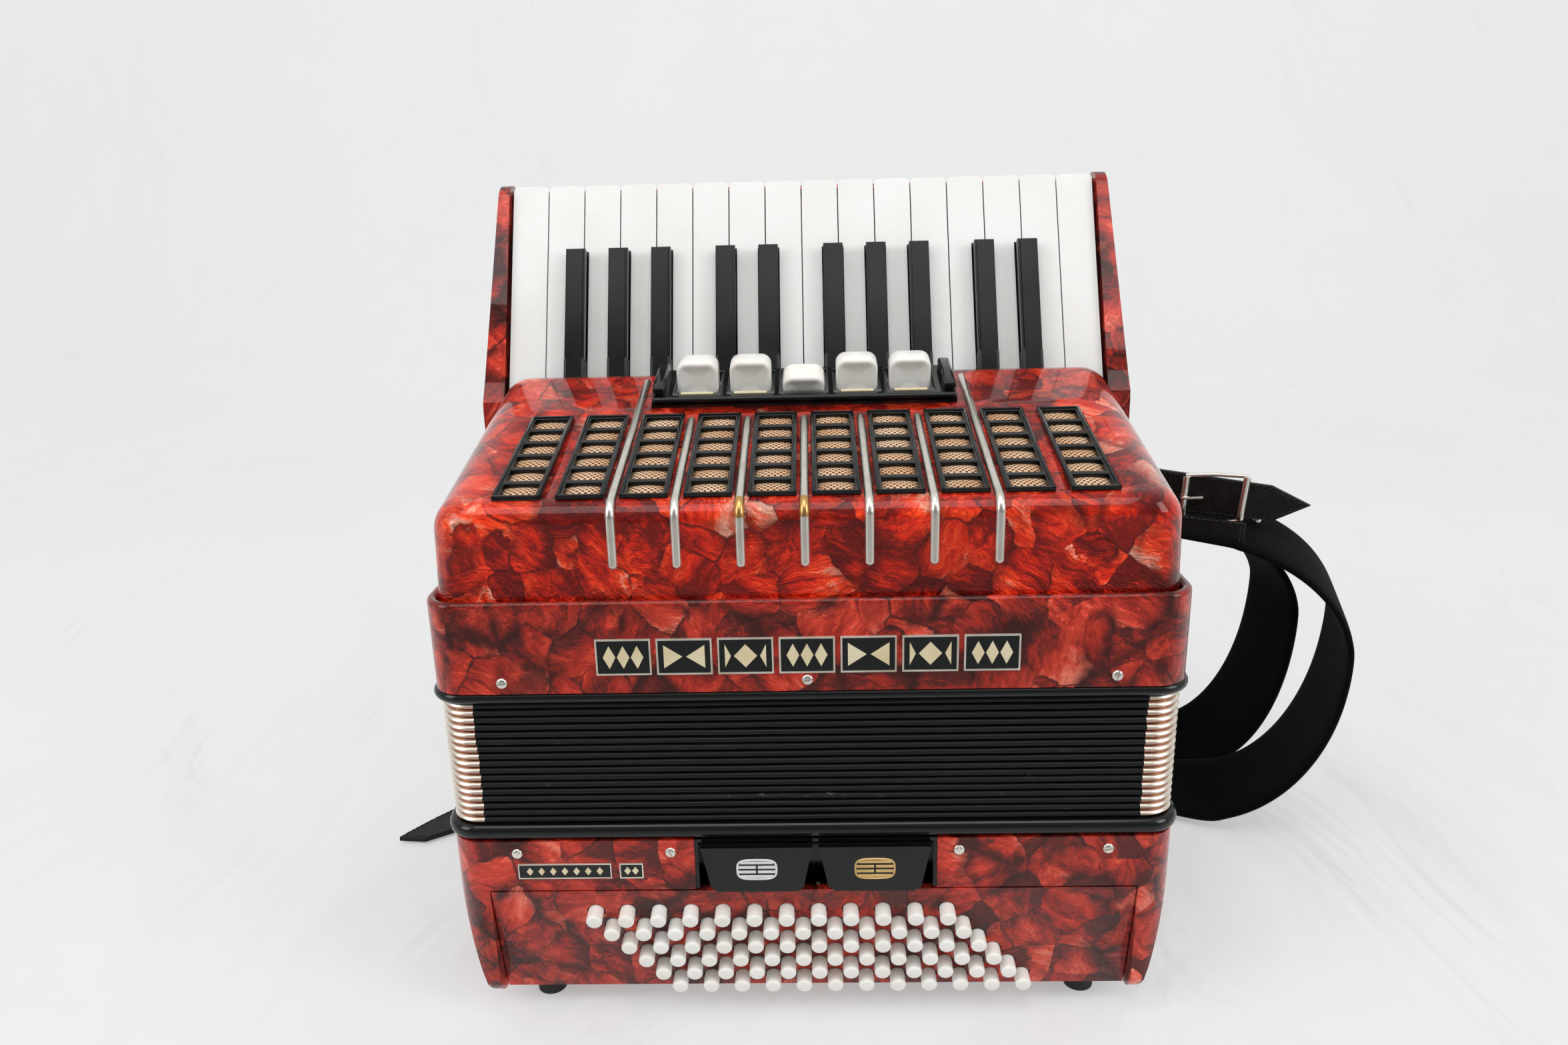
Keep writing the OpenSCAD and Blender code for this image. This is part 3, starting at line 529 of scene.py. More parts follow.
def velvet():
    """Black velvet pile on the padded side of the straps."""
    material, tree, shader = new_material(
        "velvet", Roughness=0.95, Specular_IOR_Level=0.05, Sheen_Weight=0.05, Sheen_Roughness=0.5
    )
    pile = noise_of(tree, position(tree), 1800, 3, 0.7).outputs["Fac"]
    brushed = noise_of(tree, position(tree), 60, 3, 0.6).outputs["Fac"]
    both = maths(tree, "MULTIPLY", pile, brushed)
    colour = ramp(tree, both, [(0.15, (0.001, 0.0015, 0.002)), (0.45, (0.004, 0.005, 0.006))])
    feed(tree, shader, Base_Color=colour)
    bumped(tree, shader, pile, 0.5, 0.0005)
    return material


def grille_cloth(name, hole, thread, pale):
    """Open woven cloth: staggered dark holes between tan threads, on the sheet's own UV map. The holes'
    dark brown is painted shade: the dim inside seen through the weave.
    """
    material, tree, shader = new_material(name, Roughness=0.85, Specular_IOR_Level=0.2)
    where = add_node(tree, "ShaderNodeUVMap").outputs[0]
    parts = add_node(tree, "ShaderNodeSeparateXYZ", {0: where})
    pitch = 2.5
    waves = []
    for axis in ("X", "Y"):
        turn = maths(tree, "MULTIPLY", parts.outputs[axis], 2 * math.pi / pitch)
        waves.append(maths(tree, "SINE", turn))
    # Painted shade: the holes get the dark colour of the shadowed inside behind the cloth.
    holes = ramp(tree, maths(tree, "MULTIPLY", *waves), [(0.02, 0.0), (0.30, 1.0)], smooth=True)
    fade = noise_of(tree, position(tree), 55, 3).outputs["Fac"]
    threads = mixed(tree, ramp(tree, fade, [(0.35, 0.0), (0.7, 1.0)]), thread, pale)
    feed(tree, shader, Base_Color=mixed(tree, holes, threads, hole))
    bumped(tree, shader, maths(tree, "SUBTRACT", 1.0, holes), 0.6, 0.0004)
    return material


def stained(name, colour, stain, roughness, metallic=0.0):
    """A painted or plated surface with stains and a fine grain."""
    material, tree, shader = new_material(name, Metallic=metallic)
    where = position(tree)
    cloud = noise_of(tree, where, 60, 4, 0.6).outputs["Fac"]
    feed(
        tree,
        shader,
        Base_Color=mixed(tree, ramp(tree, cloud, [(0.4, 0.0), (0.75, 0.8)]), colour, stain),
        Roughness=ramp(tree, cloud, [(0.3, roughness), (0.7, roughness + 0.15)]),
    )
    bumped(tree, shader, noise_of(tree, where, 900, 3, 0.7).outputs["Fac"], 0.12, 0.0002)
    return material


def make_materials():
    """Every material of the object, by the short name that its pieces use."""
    return {
        # Cover and case are one celluloid in lit and shaded copies. The cover's colours are painted
        # brighter and the case's duller, which is painted light.
        "cover": pearloid(
            "cover_pearl_lit_copy",
            # the last colour is a painted highlight of the flakes' glints
            [(0.20, 0.004, 0.001), (0.68, 0.018, 0.002), (0.98, 0.070, 0.014), (1.0, 0.46, 0.32)],
            vein=0.9,
            bruise=0.75,
            coat_ior=1.36,
        ),
        "case": pearloid(
            "case_pearl_shaded_copy",
            # the last colour is a painted highlight of the flakes' glints
            [(0.11, 0.010, 0.007), (0.43, 0.022, 0.010), (0.72, 0.056, 0.026), (0.94, 0.22, 0.14)],
            vein=0.95,
            bruise=0.95,
            coat_ior=1.38,
        ),
        "black": black_gloss("black_lacquer"),
        "ebony": black_gloss("ebony_keys", 0.006, 0.12, 0.22),
        "matte": stained("matte_black", (0.010, 0.011, 0.012), (0.02, 0.02, 0.02), 0.5),
        "bellows": bellows_card(),
        "nickel": nickel("nickel"),
        # The corner caps carry a strong painted red reflection on their downward faces.
        "caps": nickel("corner_caps", (0.90, 0.84, 0.72), (0.60, 0.42, 0.28), 0.4, 0.85),
        "amber": nickel("amber_lacquer", (0.62, 0.36, 0.13), (0.42, 0.22, 0.07), 0.6),
        "steel": nickel("axle_steel", (0.6, 0.6, 0.6), (0.3, 0.28, 0.25), 0.2),
        "ivory": plastic("ivory_keys", (0.775, 0.78, 0.765), (0.745, 0.74, 0.705), 0.2),
        "white": plastic("white_plastic", (0.87, 0.86, 0.83), (0.82, 0.79, 0.71), 0.3),
        "cream": stained("cream_print", (0.74, 0.66, 0.45), (0.60, 0.48, 0.26), 0.5),
        "silver": stained("silver_edge", (0.78, 0.74, 0.66), (0.45, 0.38, 0.28), 0.3, metallic=0.7),
        "gilt": stained("gilt_print", (0.70, 0.48, 0.20), (0.45, 0.27, 0.10), 0.35, metallic=0.5),
        "pale": stained("pale_print", (0.72, 0.74, 0.73), (0.5, 0.52, 0.5), 0.4),
        "plate": stained("grey_plate", (0.20, 0.20, 0.19), (0.09, 0.09, 0.08), 0.25, metallic=0.8),
        "cloth": grille_cloth(
            "grille_cloth", (0.10, 0.028, 0.008), (0.66, 0.40, 0.22), (0.80, 0.60, 0.42)
        ),
        "wood": wood("reed_wood", (0.62, 0.45, 0.26), (0.42, 0.27, 0.14)),
        "rubber": rubber(),
        "leather": leather(),
        "thread": stained("thread", (0.02, 0.02, 0.02), (0.05, 0.05, 0.045), 0.8),
        "velvet": velvet(),
    }


MATERIALS = make_materials()


# ---------- Mesh helpers ----------


def piece(name, bm, matrix, material, body, replaces=(), crease=38):
    """Turns a drawing in a working plane into a piece that rides on a CAD body. Given a blend of bodies
    instead, it is only fixed in place where it is drawn.
    """
    bmesh.ops.transform(bm, matrix=matrix, verts=bm.verts)
    bmesh.ops.recalc_face_normals(bm, faces=bm.faces)
    mesh = bpy.data.meshes.new(name)
    bm.to_mesh(mesh)
    bm.free()
    for polygon in mesh.polygons:
        polygon.use_smooth = True
    mesh.set_sharp_from_angle(angle=math.radians(crease))
    mesh.materials.append(MATERIALS[material])
    obj = bpy.data.objects.new(name, mesh)
    bpy.context.scene.collection.objects.link(obj)
    if isinstance(body, str):
        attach(obj, body)
    else:
        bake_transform(obj)
    if replaces:
        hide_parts(*replaces)
    return obj


def loft(bm, rings, caps=True, around=True):
    """Skin over rings of points; around also joins the last point of each ring to its first."""
    rows = [[bm.verts.new(point) for point in ring] for ring in rings]
    count = len(rows[0])
    for lower, upper in zip(rows, rows[1:]):
        for i in range(count if around else count - 1):
            j = (i + 1) % count
            bm.faces.new((lower[i], lower[j], upper[j], upper[i]))
    if caps:
        bm.faces.new(rows[0][::-1])
        bm.faces.new(rows[-1])


def soften(bm, edges, width, segments):
    """Rounds off edges to a width."""
    bmesh.ops.bevel(
        bm, geom=list(edges), offset=width, segments=segments, profile=0.5, affect="EDGES"
    )


def block(bm, low, high, edge=0.3, segments=2):
    """Box with softly broken edges between two corners, in the drawing's own axes."""
    size = [b - a for a, b in zip(low, high)]
    middle = [(a + b) / 2 for a, b in zip(low, high)]
    matrix = Matrix.Translation(middle) @ Matrix.Diagonal((*size, 1))
    made = bmesh.ops.create_cube(bm, size=1, matrix=matrix)
    soften(bm, {e for v in made["verts"] for e in v.link_edges}, edge, segments)


def oval(centre, reach, rise, angles):
    """Points on an upright oval in two dimensions, at angles in degrees."""
    turns = [math.radians(a) for a in angles]
    return [(centre[0] + reach * math.cos(a), centre[1] + rise * math.sin(a)) for a in turns]


def arc(radius, start, end, steps, centre=(0.0, 0.0)):
    """Points on a round arc in even steps."""
    angles = [start + (end - start) * i / steps for i in range(steps + 1)]
    return oval(centre, radius, radius, angles)


def squared(value, power):
    """A sine or cosine bent towards the section of a rounded box."""
    return math.copysign(abs(value) ** power, value)


def lathe(bm, profile, steps=20, matrix=Matrix()):
    """Turns a profile of (radius, height) points about the drawing's Z axis."""
    turns = [360 * i / steps for i in range(steps)]
    rings = []
    for radius, height in profile:
        circle = oval((0, 0), radius, radius, turns)
        rings.append([matrix @ Vector((x, y, height)) for x, y in circle])
    loft(bm, rings)


def tube(bm, path, radius, sides=10, closed=False):
    """Round wire along a path of points."""
    circle = oval((0, 0), radius, radius, [360 * k / sides for k in range(sides)])
    rings = []
    count = len(path)
    for i, point in enumerate(path):
        before = path[i - 1] if i or closed else point
        after = path[(i + 1) % count] if i < count - 1 or closed else point
        ahead = (after - before).normalized()
        helper = Vector((0, 0, 1)) if abs(ahead.z) < 0.9 else Vector((1, 0, 0))
        across = ahead.cross(helper).normalized()
        up = across.cross(ahead)
        rings.append([point + x * across + y * up for x, y in circle])
    if closed:
        rings.append(rings[0])
    loft(bm, rings, caps=not closed)
    if closed:
        bmesh.ops.remove_doubles(bm, verts=bm.verts, dist=0.001)


def grid_faces(bm, xs, ys, is_hole, height_of):
    """Faces over a grid of lines, left out wherever is_hole(x, y) says so."""
    grid = [[bm.verts.new((x, y, height_of(y))) for x in xs] for y in ys]
    faces = []
    for r in range(len(ys) - 1):
        for c in range(len(xs) - 1):
            if not is_hole((xs[c] + xs[c + 1]) / 2, (ys[r] + ys[r + 1]) / 2):
                corners = (grid[r][c], grid[r][c + 1], grid[r + 1][c + 1], grid[r + 1][c])
                faces.append(bm.faces.new(corners))
    return faces


def drop_loose(bm):
    """Deletes the points that no face uses."""
    loose = [v for v in bm.verts if not v.link_faces]
    bmesh.ops.delete(bm, geom=loose, context="VERTS")


def grid_slab(bm, xs, ys, is_hole, low, high, edge, segments=2):
    """Slab over a grid of lines with the same holes, its edges broken but for the lower ones."""
    start = len(bm.verts)
    faces = grid_faces(bm, xs, ys, is_hole, lambda y: high)
    made = bmesh.ops.extrude_face_region(bm, geom=faces)
    moved = [item for item in made["geom"] if isinstance(item, bmesh.types.BMVert)]
    bmesh.ops.translate(bm, verts=moved, vec=(0, 0, low - high))
    bm.verts.ensure_lookup_table()
    fresh = {v for v in bm.verts[start:] if v.link_faces}
    drop_loose(bm)
    least_turn = 0.9
    sharp = [
        e
        for e in bm.edges
        if len(e.link_faces) == 2
        and abs(e.calc_face_angle(0.0)) > least_turn
        and e.verts[0] in fresh
        and all(v.co.z > low + 0.01 for v in e.verts)
    ]
    soften(bm, sharp, edge, segments)


def outline(width, depth, radius, inset, cuts):
    """Closed rounded rectangle, centred on X and starting at y = 0, drawn in by an inset."""
    x, near, far = width / 2 - radius, radius, depth - radius
    corners = []
    for cx, cy, start in ((x, near, -90), (x, far, 0), (-x, far, 90), (-x, near, 180)):
        corners.append(arc(max(radius - inset, 0.3), start, start + 90, 8, (cx, cy)))
    points = []
    for index, corner in enumerate(corners):
        points += corner
        (x0, y0), (x1, y1) = corner[-1], corners[(index + 1) % 4][0]
        cut = cuts[(index + 1) % 2]
        points += [(x0 + (x1 - x0) * k / cut, y0 + (y1 - y0) * k / cut) for k in range(1, cut)]
    return points


def around_case(bm, profile, low, high, radius, cuts, waver=0.0):
    """Sweeps a closed profile of (inset, z) points round a box with rounded corners."""
    rings = []
    for inset, z in profile:
        ring = []
        for x, y in outline(high.x - low.x, high.y - low.y, radius, inset, cuts):
            shake = waver * noise.noise(Vector((x / 22, y / 22, z / 2.2)))
            ring.append(Vector((x, y + low.y, z + shake)))
        rings.append(ring)
    rings.append([point.copy() for point in rings[0]])
    loft(bm, rings, caps=False)
    bmesh.ops.remove_doubles(bm, verts=bm.verts, dist=0.0005)


# ---------- Carried-over CAD nodes ----------


def finish_node(name, material, edge):
    """Gives a CAD node its material, smooth shading and softly broken edges."""
    node = NODES[name]
    node.data.materials.clear()
    node.data.materials.append(MATERIALS[material])
    for polygon in node.data.polygons:
        polygon.use_smooth = True
    if edge:
        bevel = node.modifiers.new("edge", "BEVEL")
        bevel.width = edge * MM
        bevel.segments = 3
        bevel.limit_method = "ANGLE"
        bevel.angle_limit = math.radians(35)
        bevel.harden_normals = True
        bevel.use_clamp_overlap = True
    normals = node.modifiers.new("normals", "WEIGHTED_NORMAL")
    normals.keep_sharp = True


def finish_carried_nodes():
    """Nodes that keep their CAD shape, each with its material and the width of its edges."""
    carried = {
        "bass_box": ("case", 0.8),
        "button_board": ("case", 0.0),
        "register_bay": ("black", 0.3),
        "bass_reed_bank": ("wood", 0.0),
        "treble_reed_bank": ("wood", 0.0),
        "bass_feet": ("rubber", 0.8),
        "bass_register_left": ("black", 0.7),
        "bass_register_right": ("black", 0.7),
        "keyboard_base": ("case", 2.2),
        "key_axle": ("steel", 0.0),
    }
    for k in range(1, 17):
        carried[f"white_key_{k}"] = ("ivory", 0.7)
    for k in range(1, 11):
        carried[f"black_key_{k}"] = ("ebony", 0.8)
    for name, (material, edge) in carried.items():
        finish_node(name, material, edge)


# ---------- Bellows ----------

FOLDS = 17
BELLOWS_CORNER = 13


def nose(inset, low, high, reach, steps):
    """Round outer edge of a profile of (inset, z) points, between two heights."""
    angles = [-90 + 180 * i / steps for i in range(steps + 1)]
    return oval((inset + reach, (low + high) / 2), -reach, (high - low) / 2, angles)


def add_bellows():
    """Cloth-covered folds with round ridges, round a hollow middle."""
    low, high = span("bellows")
    pitch = (high.z - low.z) / FOLDS
    ridge = pitch * 0.80
    valley = 4.0
    wall = 18.0
    profile = []
    for i in range(FOLDS):
        foot = low.z + i * pitch
        start = foot + (pitch - ridge) / 2
        profile.append((valley, foot + 0.02))
        profile += nose(0.0, start, start + ridge, 1.6, 6)
    profile += [(valley, high.z), (wall, high.z), (wall, low.z)]
    bm = bmesh.new()
    around_case(bm, profile, low, high, BELLOWS_CORNER, (44, 24), waver=0.16)
    piece("bellows_folds", bm, CASE, "bellows", bellows_blend(), ["bellows"])


def bellows_blend():
    """Bodies at both ends of the bellows, and the levels between which it stretches."""
    low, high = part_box("bellows")
    return BASS, TREBLE, (0, 0, low.z), (0, 0, high.z)


def add_corner_caps():
    """Nickel caps that wrap every fold at the four corners, with legs of uneven length."""
    low, high = span("bellows")
    pitch = (high.z - low.z) / FOLDS
    thick = pitch * 0.88
    corner_x = (high.x - low.x) / 2 - BELLOWS_CORNER
    corner_y = (high.y - low.y) / 2 - BELLOWS_CORNER
    middle_y = (low.y + high.y) / 2
    rng = random.Random(4)
    bm = bmesh.new()
    for i in range(FOLDS):
        start = low.z + i * pitch + (pitch - thick) / 2
        section = nose(-0.3, start, start + thick, 1.9, 6)
        for side_x, side_y in ((-1, -1), (-1, 1), (1, -1), (1, 1)):
            leg = 2.2 + rng.random() * 0.7
            rings = []
            for inset, z in section:
                bend = arc(BELLOWS_CORNER - inset, 0, 90, 8)
                path = [(bend[0][0], -leg), *bend, (-leg, bend[-1][1])]
                places = [
                    (side_x * (corner_x + x), middle_y + side_y * (corner_y + y)) for x, y in path
                ]
                rings.append([Vector((x, y, z)) for x, y in places])
            loft(bm, [list(station) for station in zip(*rings)])
    piece("bellows_caps", bm, CASE, "caps", bellows_blend())


def add_bellows_frames():
    """Black wooden frames at both ends of the bellows: round outside, square inside."""
    wall = 18
    for node, body in (("bass_bellows_frame", BASS), ("treble_bellows_frame", TREBLE)):
        low, high = span(node)
        profile = [*nose(0.0, low.z, high.z, 2.6, 10), (wall, high.z), (wall, low.z)]
        bm = bmesh.new()
        around_case(bm, profile, low, high, 15, (12, 8))
        piece(f"{node}_moulding", bm, CASE, "black", body, [node])


# ---------- Rim and grille cover ----------


def add_rim():
    """Treble rim with a rolled lip at its top."""
    low, high = span("treble_rim")
    wall = 4.0
    lip = wall / 2
    rolled = oval((lip, high.z - lip), -lip, lip, range(0, 181, 15))
    bm = bmesh.new()
    around_case(bm, [(0.0, low.z), *rolled, (wall, low.z)], low, high, 14, (16, 10))
    piece("rim_shell", bm, CASE, "case", TREBLE, ["treble_rim"])


PANELS = 10
WINDOWS = 6
PANEL_PITCH = 25.2
PANEL_W = 19.1
PANEL_LEN = 78.0
PANEL_START = 6.8
REGISTER_W = 140.0
REGISTER_START = 95.5
REGISTER_LEN = 39.0

# Radii of the cover's side and front edges and of its upright corners
SIDE_R = 15.0
FRONT_R = 7.0
CORNER_R = 10.5


def panel_x(index):
    """Left edge of a grille panel."""
    return (index - (PANELS - 1) / 2) * PANEL_PITCH - PANEL_W / 2


def cover_holes():
    """Openings in the cover's top, as (x0, x1, s0, s1) on its slope."""
    lap = 1.5
    starts = [panel_x(i) for i in range(PANELS)]
    near, far = PANEL_START + lap, PANEL_START + PANEL_LEN - lap
    holes = [(x + lap, x + PANEL_W - lap, near, far) for x in starts]
    half = REGISTER_W / 2 - 4
    return [*holes, (-half, half, REGISTER_START + 4, REGISTER_START + REGISTER_LEN - 1)]


def cover_top(y):
    """Height of the cover's top plane at one depth in the case."""
    return COVER_FRONT.z + (y - COVER_FRONT.y) * math.tan(COVER_SLOPE)


def cover_ring(half, xs, ys, radius, insets, height_of):
    """Open path from the cover's back right corner round its front to the back left one."""
    inset_x, inset_y = insets
    turns = [9 * i for i in range(11)]
    centre = (half - radius, COVER_FRONT.y + radius)
    bend = oval(centre, radius - inset_x, inset_y - radius, turns)
    flank = [(half - inset_x, y, 0.0) for y in reversed(ys)]
    flank += [(x, y, turn / 90) for (x, y), turn in zip(bend, turns)]
    front = [(x, COVER_FRONT.y + inset_y, 1.0) for x in reversed(xs[1:-1])]
    mirrored = [(-x, y, share) for x, y, share in reversed(flank)]
    return [Vector((x, y, height_of(y, share))) for x, y, share in flank + front + mirrored]


def add_cover():
    """Sloping cover of the treble side, rounded over its front and its two sides."""
    low, high = span("grille_cover")
    half = (high.x - low.x) / 2
    holes = cover_holes()
    xs = {round(x, 4) for hole in holes for x in hole[:2]} | {SIDE_R - half, half - SIDE_R}
    xs = sorted(xs)
    lines = sorted({round(s, 4) for hole in holes for s in hole[2:]})
    ys = [COVER_FRONT.y + s * math.cos(COVER_SLOPE) for s in lines]
    ys = [y for y in ys if y > COVER_FRONT.y + SIDE_R] + [high.y]
    rings = []
    for level in (low.z, low.z + 24):
        rings.append(cover_ring(half, xs, ys, CORNER_R, (0, 0), lambda y, share, z=level: z))
    for a in [math.radians(7.5 * i) for i in range(13)]:
        drawn_in = 1 - math.cos(a)

        def height_of(y, share, a=a):
            return cover_top(y) - (SIDE_R + (FRONT_R - SIDE_R) * share) * (1 - math.sin(a))

        insets = (SIDE_R * drawn_in, FRONT_R * drawn_in)
        rings.append(cover_ring(half, xs, ys, SIDE_R, insets, height_of))
    bm = bmesh.new()
    loft(bm, rings, caps=False, around=False)

    bend = [SIDE_R - (SIDE_R - FRONT_R) * math.sin(math.radians(9 * i)) for i in range(11)]
    rows = sorted({round(y, 5) for y in [COVER_FRONT.y + back for back in bend] + ys})
    rows = [max(y, COVER_FRONT.y + FRONT_R) for y in rows]

    def is_open(x, y):
        s = (y - COVER_FRONT.y) / math.cos(COVER_SLOPE)
        return any(x0 < x < x1 and s0 < s < s1 for x0, x1, s0, s1 in holes)

    grid_faces(bm, xs, rows, is_open, cover_top)
    bmesh.ops.remove_doubles(bm, verts=bm.verts, dist=0.01)
    drop_loose(bm)
    cover = piece(
        "cover_shell", bm, CASE, "cover", TREBLE, ["grille_cover"], crease=60
    )
    thicken(cover, 2.2, True)


def thicken(sheet, thick, even):
    """Gives a sheet its thickness, in millimetres, on its inner side."""
    shell = sheet.modifiers.new("thickness", "SOLIDIFY")
    shell.thickness = thick * MM
    shell.offset = -1
    shell.use_even_offset = even


def add_panels():
    """Ten black frames of six windows, each with a raised rail round it."""
    bar, side, rise, rail = 2.7, 2.3, 1.4, 1.5
    window_len = (PANEL_LEN - 2 * side - (WINDOWS - 1) * bar) / WINDOWS
    start, end = PANEL_START, PANEL_START + PANEL_LEN
    windows = [start + side + w * (window_len + bar) for w in range(WINDOWS)]
    lines = sorted([start, end, *windows, *(y + window_len for y in windows)])
    frames = bmesh.new()
    for i in range(PANELS):
        x0, x1 = panel_x(i), panel_x(i) + PANEL_W

        def is_window(x, y, left=x0 + side, right=x1 - side):
            return left < x < right and any(w < y < w + window_len for w in windows)

        xs = [x0, x0 + side, x1 - side, x1]
        grid_slab(frames, xs, lines, is_window, -3.2, rise, edge=0.7, segments=3)
        for low, high in (
            ((x0, start), (x0 + rail, end)),
            ((x1 - rail, start), (x1, end)),
            ((x0, start), (x1, start + rail)),
            ((x0, end - rail), (x1, end)),
        ):
            block(frames, (*low, rise - 0.3), (*high, rise + 0.6), 0.4)
    piece("panel_frames", frames, SLOPE, "black", TREBLE, ["grille_panels"])
    add_cloths(side, window_len + bar)


def add_cloths(side, pitch):
    """Cloth under each panel: it swells a little in the middle of every window."""
    bm = bmesh.new()
    weave = bm.loops.layers.uv.new("weave")
    steps_x, steps_y = 6, 48
    lap = 1.6
    swell = 1.1
    for i in range(PANELS):
        rows = []
        for r in range(steps_y + 1):
            row = []
            y = PANEL_START + lap + (PANEL_LEN - 2 * lap) * r / steps_y
            dome = abs(math.sin(math.pi * (y - PANEL_START - side) / pitch))
            for c in range(steps_x + 1):
                x = panel_x(i) + lap + (PANEL_W - 2 * lap) * c / steps_x
                shake = 0.25 * noise.noise(Vector((x / 9, y / 7, i * 3.1)))
                bulge = swell * math.sin(math.pi * c / steps_x) * dome
                row.append(bm.verts.new((x, y, bulge - swell + shake)))
            rows.append(row)
        for lower, upper in zip(rows, rows[1:]):
            for c in range(steps_x):
                face = bm.faces.new((lower[c], lower[c + 1], upper[c + 1], upper[c]))
                for corner in face.loops:
                    corner[weave].uv = (corner.vert.co.x, corner.vert.co.y)
    thicken(piece("grille_cloths", bm, SLOPE, "cloth", TREBLE), 0.4, False)


STRIP_HALF = 1.95
STRIP_RISE = 1.9


def strip_bend(angles):
    """Places and angles on the strips' bend over the front edge of the cover."""
    bend_r = 6.0
    lift = bend_r * math.tan(COVER_SLOPE) - bend_r / math.cos(COVER_SLOPE)
    centre = (COVER_FRONT.y + bend_r, COVER_FRONT.z + lift)
    return list(zip(oval(centre, bend_r, bend_r, angles), angles))


def strip_ring(x, place, angle, half, rise, foot=0.0):
    """Half-round section of a strip that stands out at an angle from its place."""
    out = Vector((0, math.cos(math.radians(angle)), math.sin(math.radians(angle))))
    section = oval((0, 0), half, rise, [22.5 * k for k in range(9)])
    if foot:
        section += [(-half, -foot), (half, -foot)]
    return [Vector((x + across, *place)) + out * height for across, height in section]


def add_strips():
    """Seven half-round metal strips, bent over the front edge and rounded at their ends."""
    tail_z = span("grille_strips")[0].z
    slope = math.degrees(COVER_SLOPE)
    path = []
    for i in range(7):
        rounded = STRIP_HALF * (1 - math.cos(math.radians(15 * i)))
        path.append(((COVER_FRONT.y, tail_z + rounded), 180))
    path += strip_bend([180 - (90 - slope) * i / 8 for i in range(9)])
    bm = bmesh.new()
    for i in range(-3, 4):
        end = 128 if abs(i) == 3 else 82
        run = []
        for s in (20, 60, end - STRIP_HALF, end - STRIP_HALF * 0.3, end):
            y = COVER_FRONT.y + s * math.cos(COVER_SLOPE)
            run.append(((y, COVER_FRONT.z + s * math.sin(COVER_SLOPE)), 90 + slope))
        stations = path + run
        shares = [min(1.0, 0.25 + 0.15 * k) for k in range(len(stations) - 2)] + [0.8, 0.25]
        rings = []
        for (place, angle), share in zip(stations, shares):
            half, rise = STRIP_HALF * share, STRIP_RISE * share
            rings.append(strip_ring(i * PANEL_PITCH, place, angle, half, rise, 0.3))
        loft(bm, rings)
    piece("cover_strips", bm, CASE, "nickel", TREBLE, ["grille_strips"])


def add_amber_bends():
    """Two of the strips are stained amber where they bend."""
    skin = 0.12
    bm = bmesh.new()
    for i in (-1, 0):
        rings = []
        for place, angle in strip_bend(range(178, 101, -7)):
            half, rise = STRIP_HALF + skin, STRIP_RISE + skin
            rings.append(strip_ring(i * PANEL_PITCH, place, angle, half, rise))
        loft(bm, rings)
    piece("strip_stains", bm, CASE, "amber", TREBLE)


# ---------- Registers ----------

ROCKER_PITCH = 24.8
ROCKER_AXLE = (129.3, -6.0)
PRESSED_ROCKER = 3
WELL_HALF = 10.65
WELL_START = REGISTER_START + 7.5
WELL_END = REGISTER_START + REGISTER_LEN - 3


def add_register_frame():
    """Black frame with five wells, a raised front bar and two raised ends."""
    half = REGISTER_W / 2
    start, end = REGISTER_START, REGISTER_START + REGISTER_LEN
    middles = [k * ROCKER_PITCH for k in range(-2, 3)]
    flanks = {x + side * WELL_HALF for x in middles for side in (-1, 1)}

    def is_well(x, y):
        over = any(abs(x - middle) < WELL_HALF for middle in middles)
        return over and WELL_START < y < WELL_END

    bm = bmesh.new()
    xs = sorted({-half, half} | flanks)
    ys = [start, WELL_START, WELL_END, end]
    grid_slab(bm, xs, ys, is_well, -12.0, 3.4, edge=0.8, segments=3)
    block(bm, (-half, start, 0.1), (half, start + 3.2, 4.6), 1.4, 4)
    for side in (-1, 1):
        x0, x1 = sorted((side * half, side * (half - 5.5)))
        block(bm, (x0, start + 5, 2), (x1, end - 2, 8), 1.2, 3)
    piece("register_surround", bm, SLOPE, "black", TREBLE, ["register_frame"])


def add_register_plates():
    """Grey metal lining of the wells, and a cream label before each rocker that is up."""
    plates = bmesh.new()
    labels = bmesh.new()
    reach = WELL_HALF + 0.5
    for k in range(1, 6):
        x = (k - 3) * ROCKER_PITCH
        block(plates, (x - reach, WELL_START - 0.5, 2.6), (x + reach, WELL_START + 2.3, 3.3), 0.2)
        for side in (-1, 1):
            x0, x1 = sorted((x + side * (WELL_HALF + 0.6), x + side * (WELL_HALF - 0.9)))
            block(plates, (x0, WELL_START, -9), (x1, WELL_END, 1.9), 0.2)
        if k != PRESSED_ROCKER:
            block(labels, (x - 7.6, WELL_START - 0.3, 3.2), (x + 7.6, WELL_START + 2.0, 3.9), 0.3)
    piece("register_plates", plates, SLOPE, "plate", TREBLE)
    piece("register_labels", labels, SLOPE, "cream", TREBLE)


def rocker_section(half, low, high, inset):
    """Rounded outline of a rocker's tab: X across, Z out of the cover."""
    x = half - inset
    upper, lower = max(4.8 - inset, 0.4), max(2.2 - inset, 0.3)
    top, bottom = high - inset - upper, low + inset + lower
    points = arc(upper, 0, 90, 6, (x - upper, top))
    points += arc(upper, 90, 180, 6, (upper - x, top))
    points += arc(lower, 180, 270, 4, (lower - x, bottom))
    return points + arc(lower, 270, 360, 4, (x - lower, bottom))


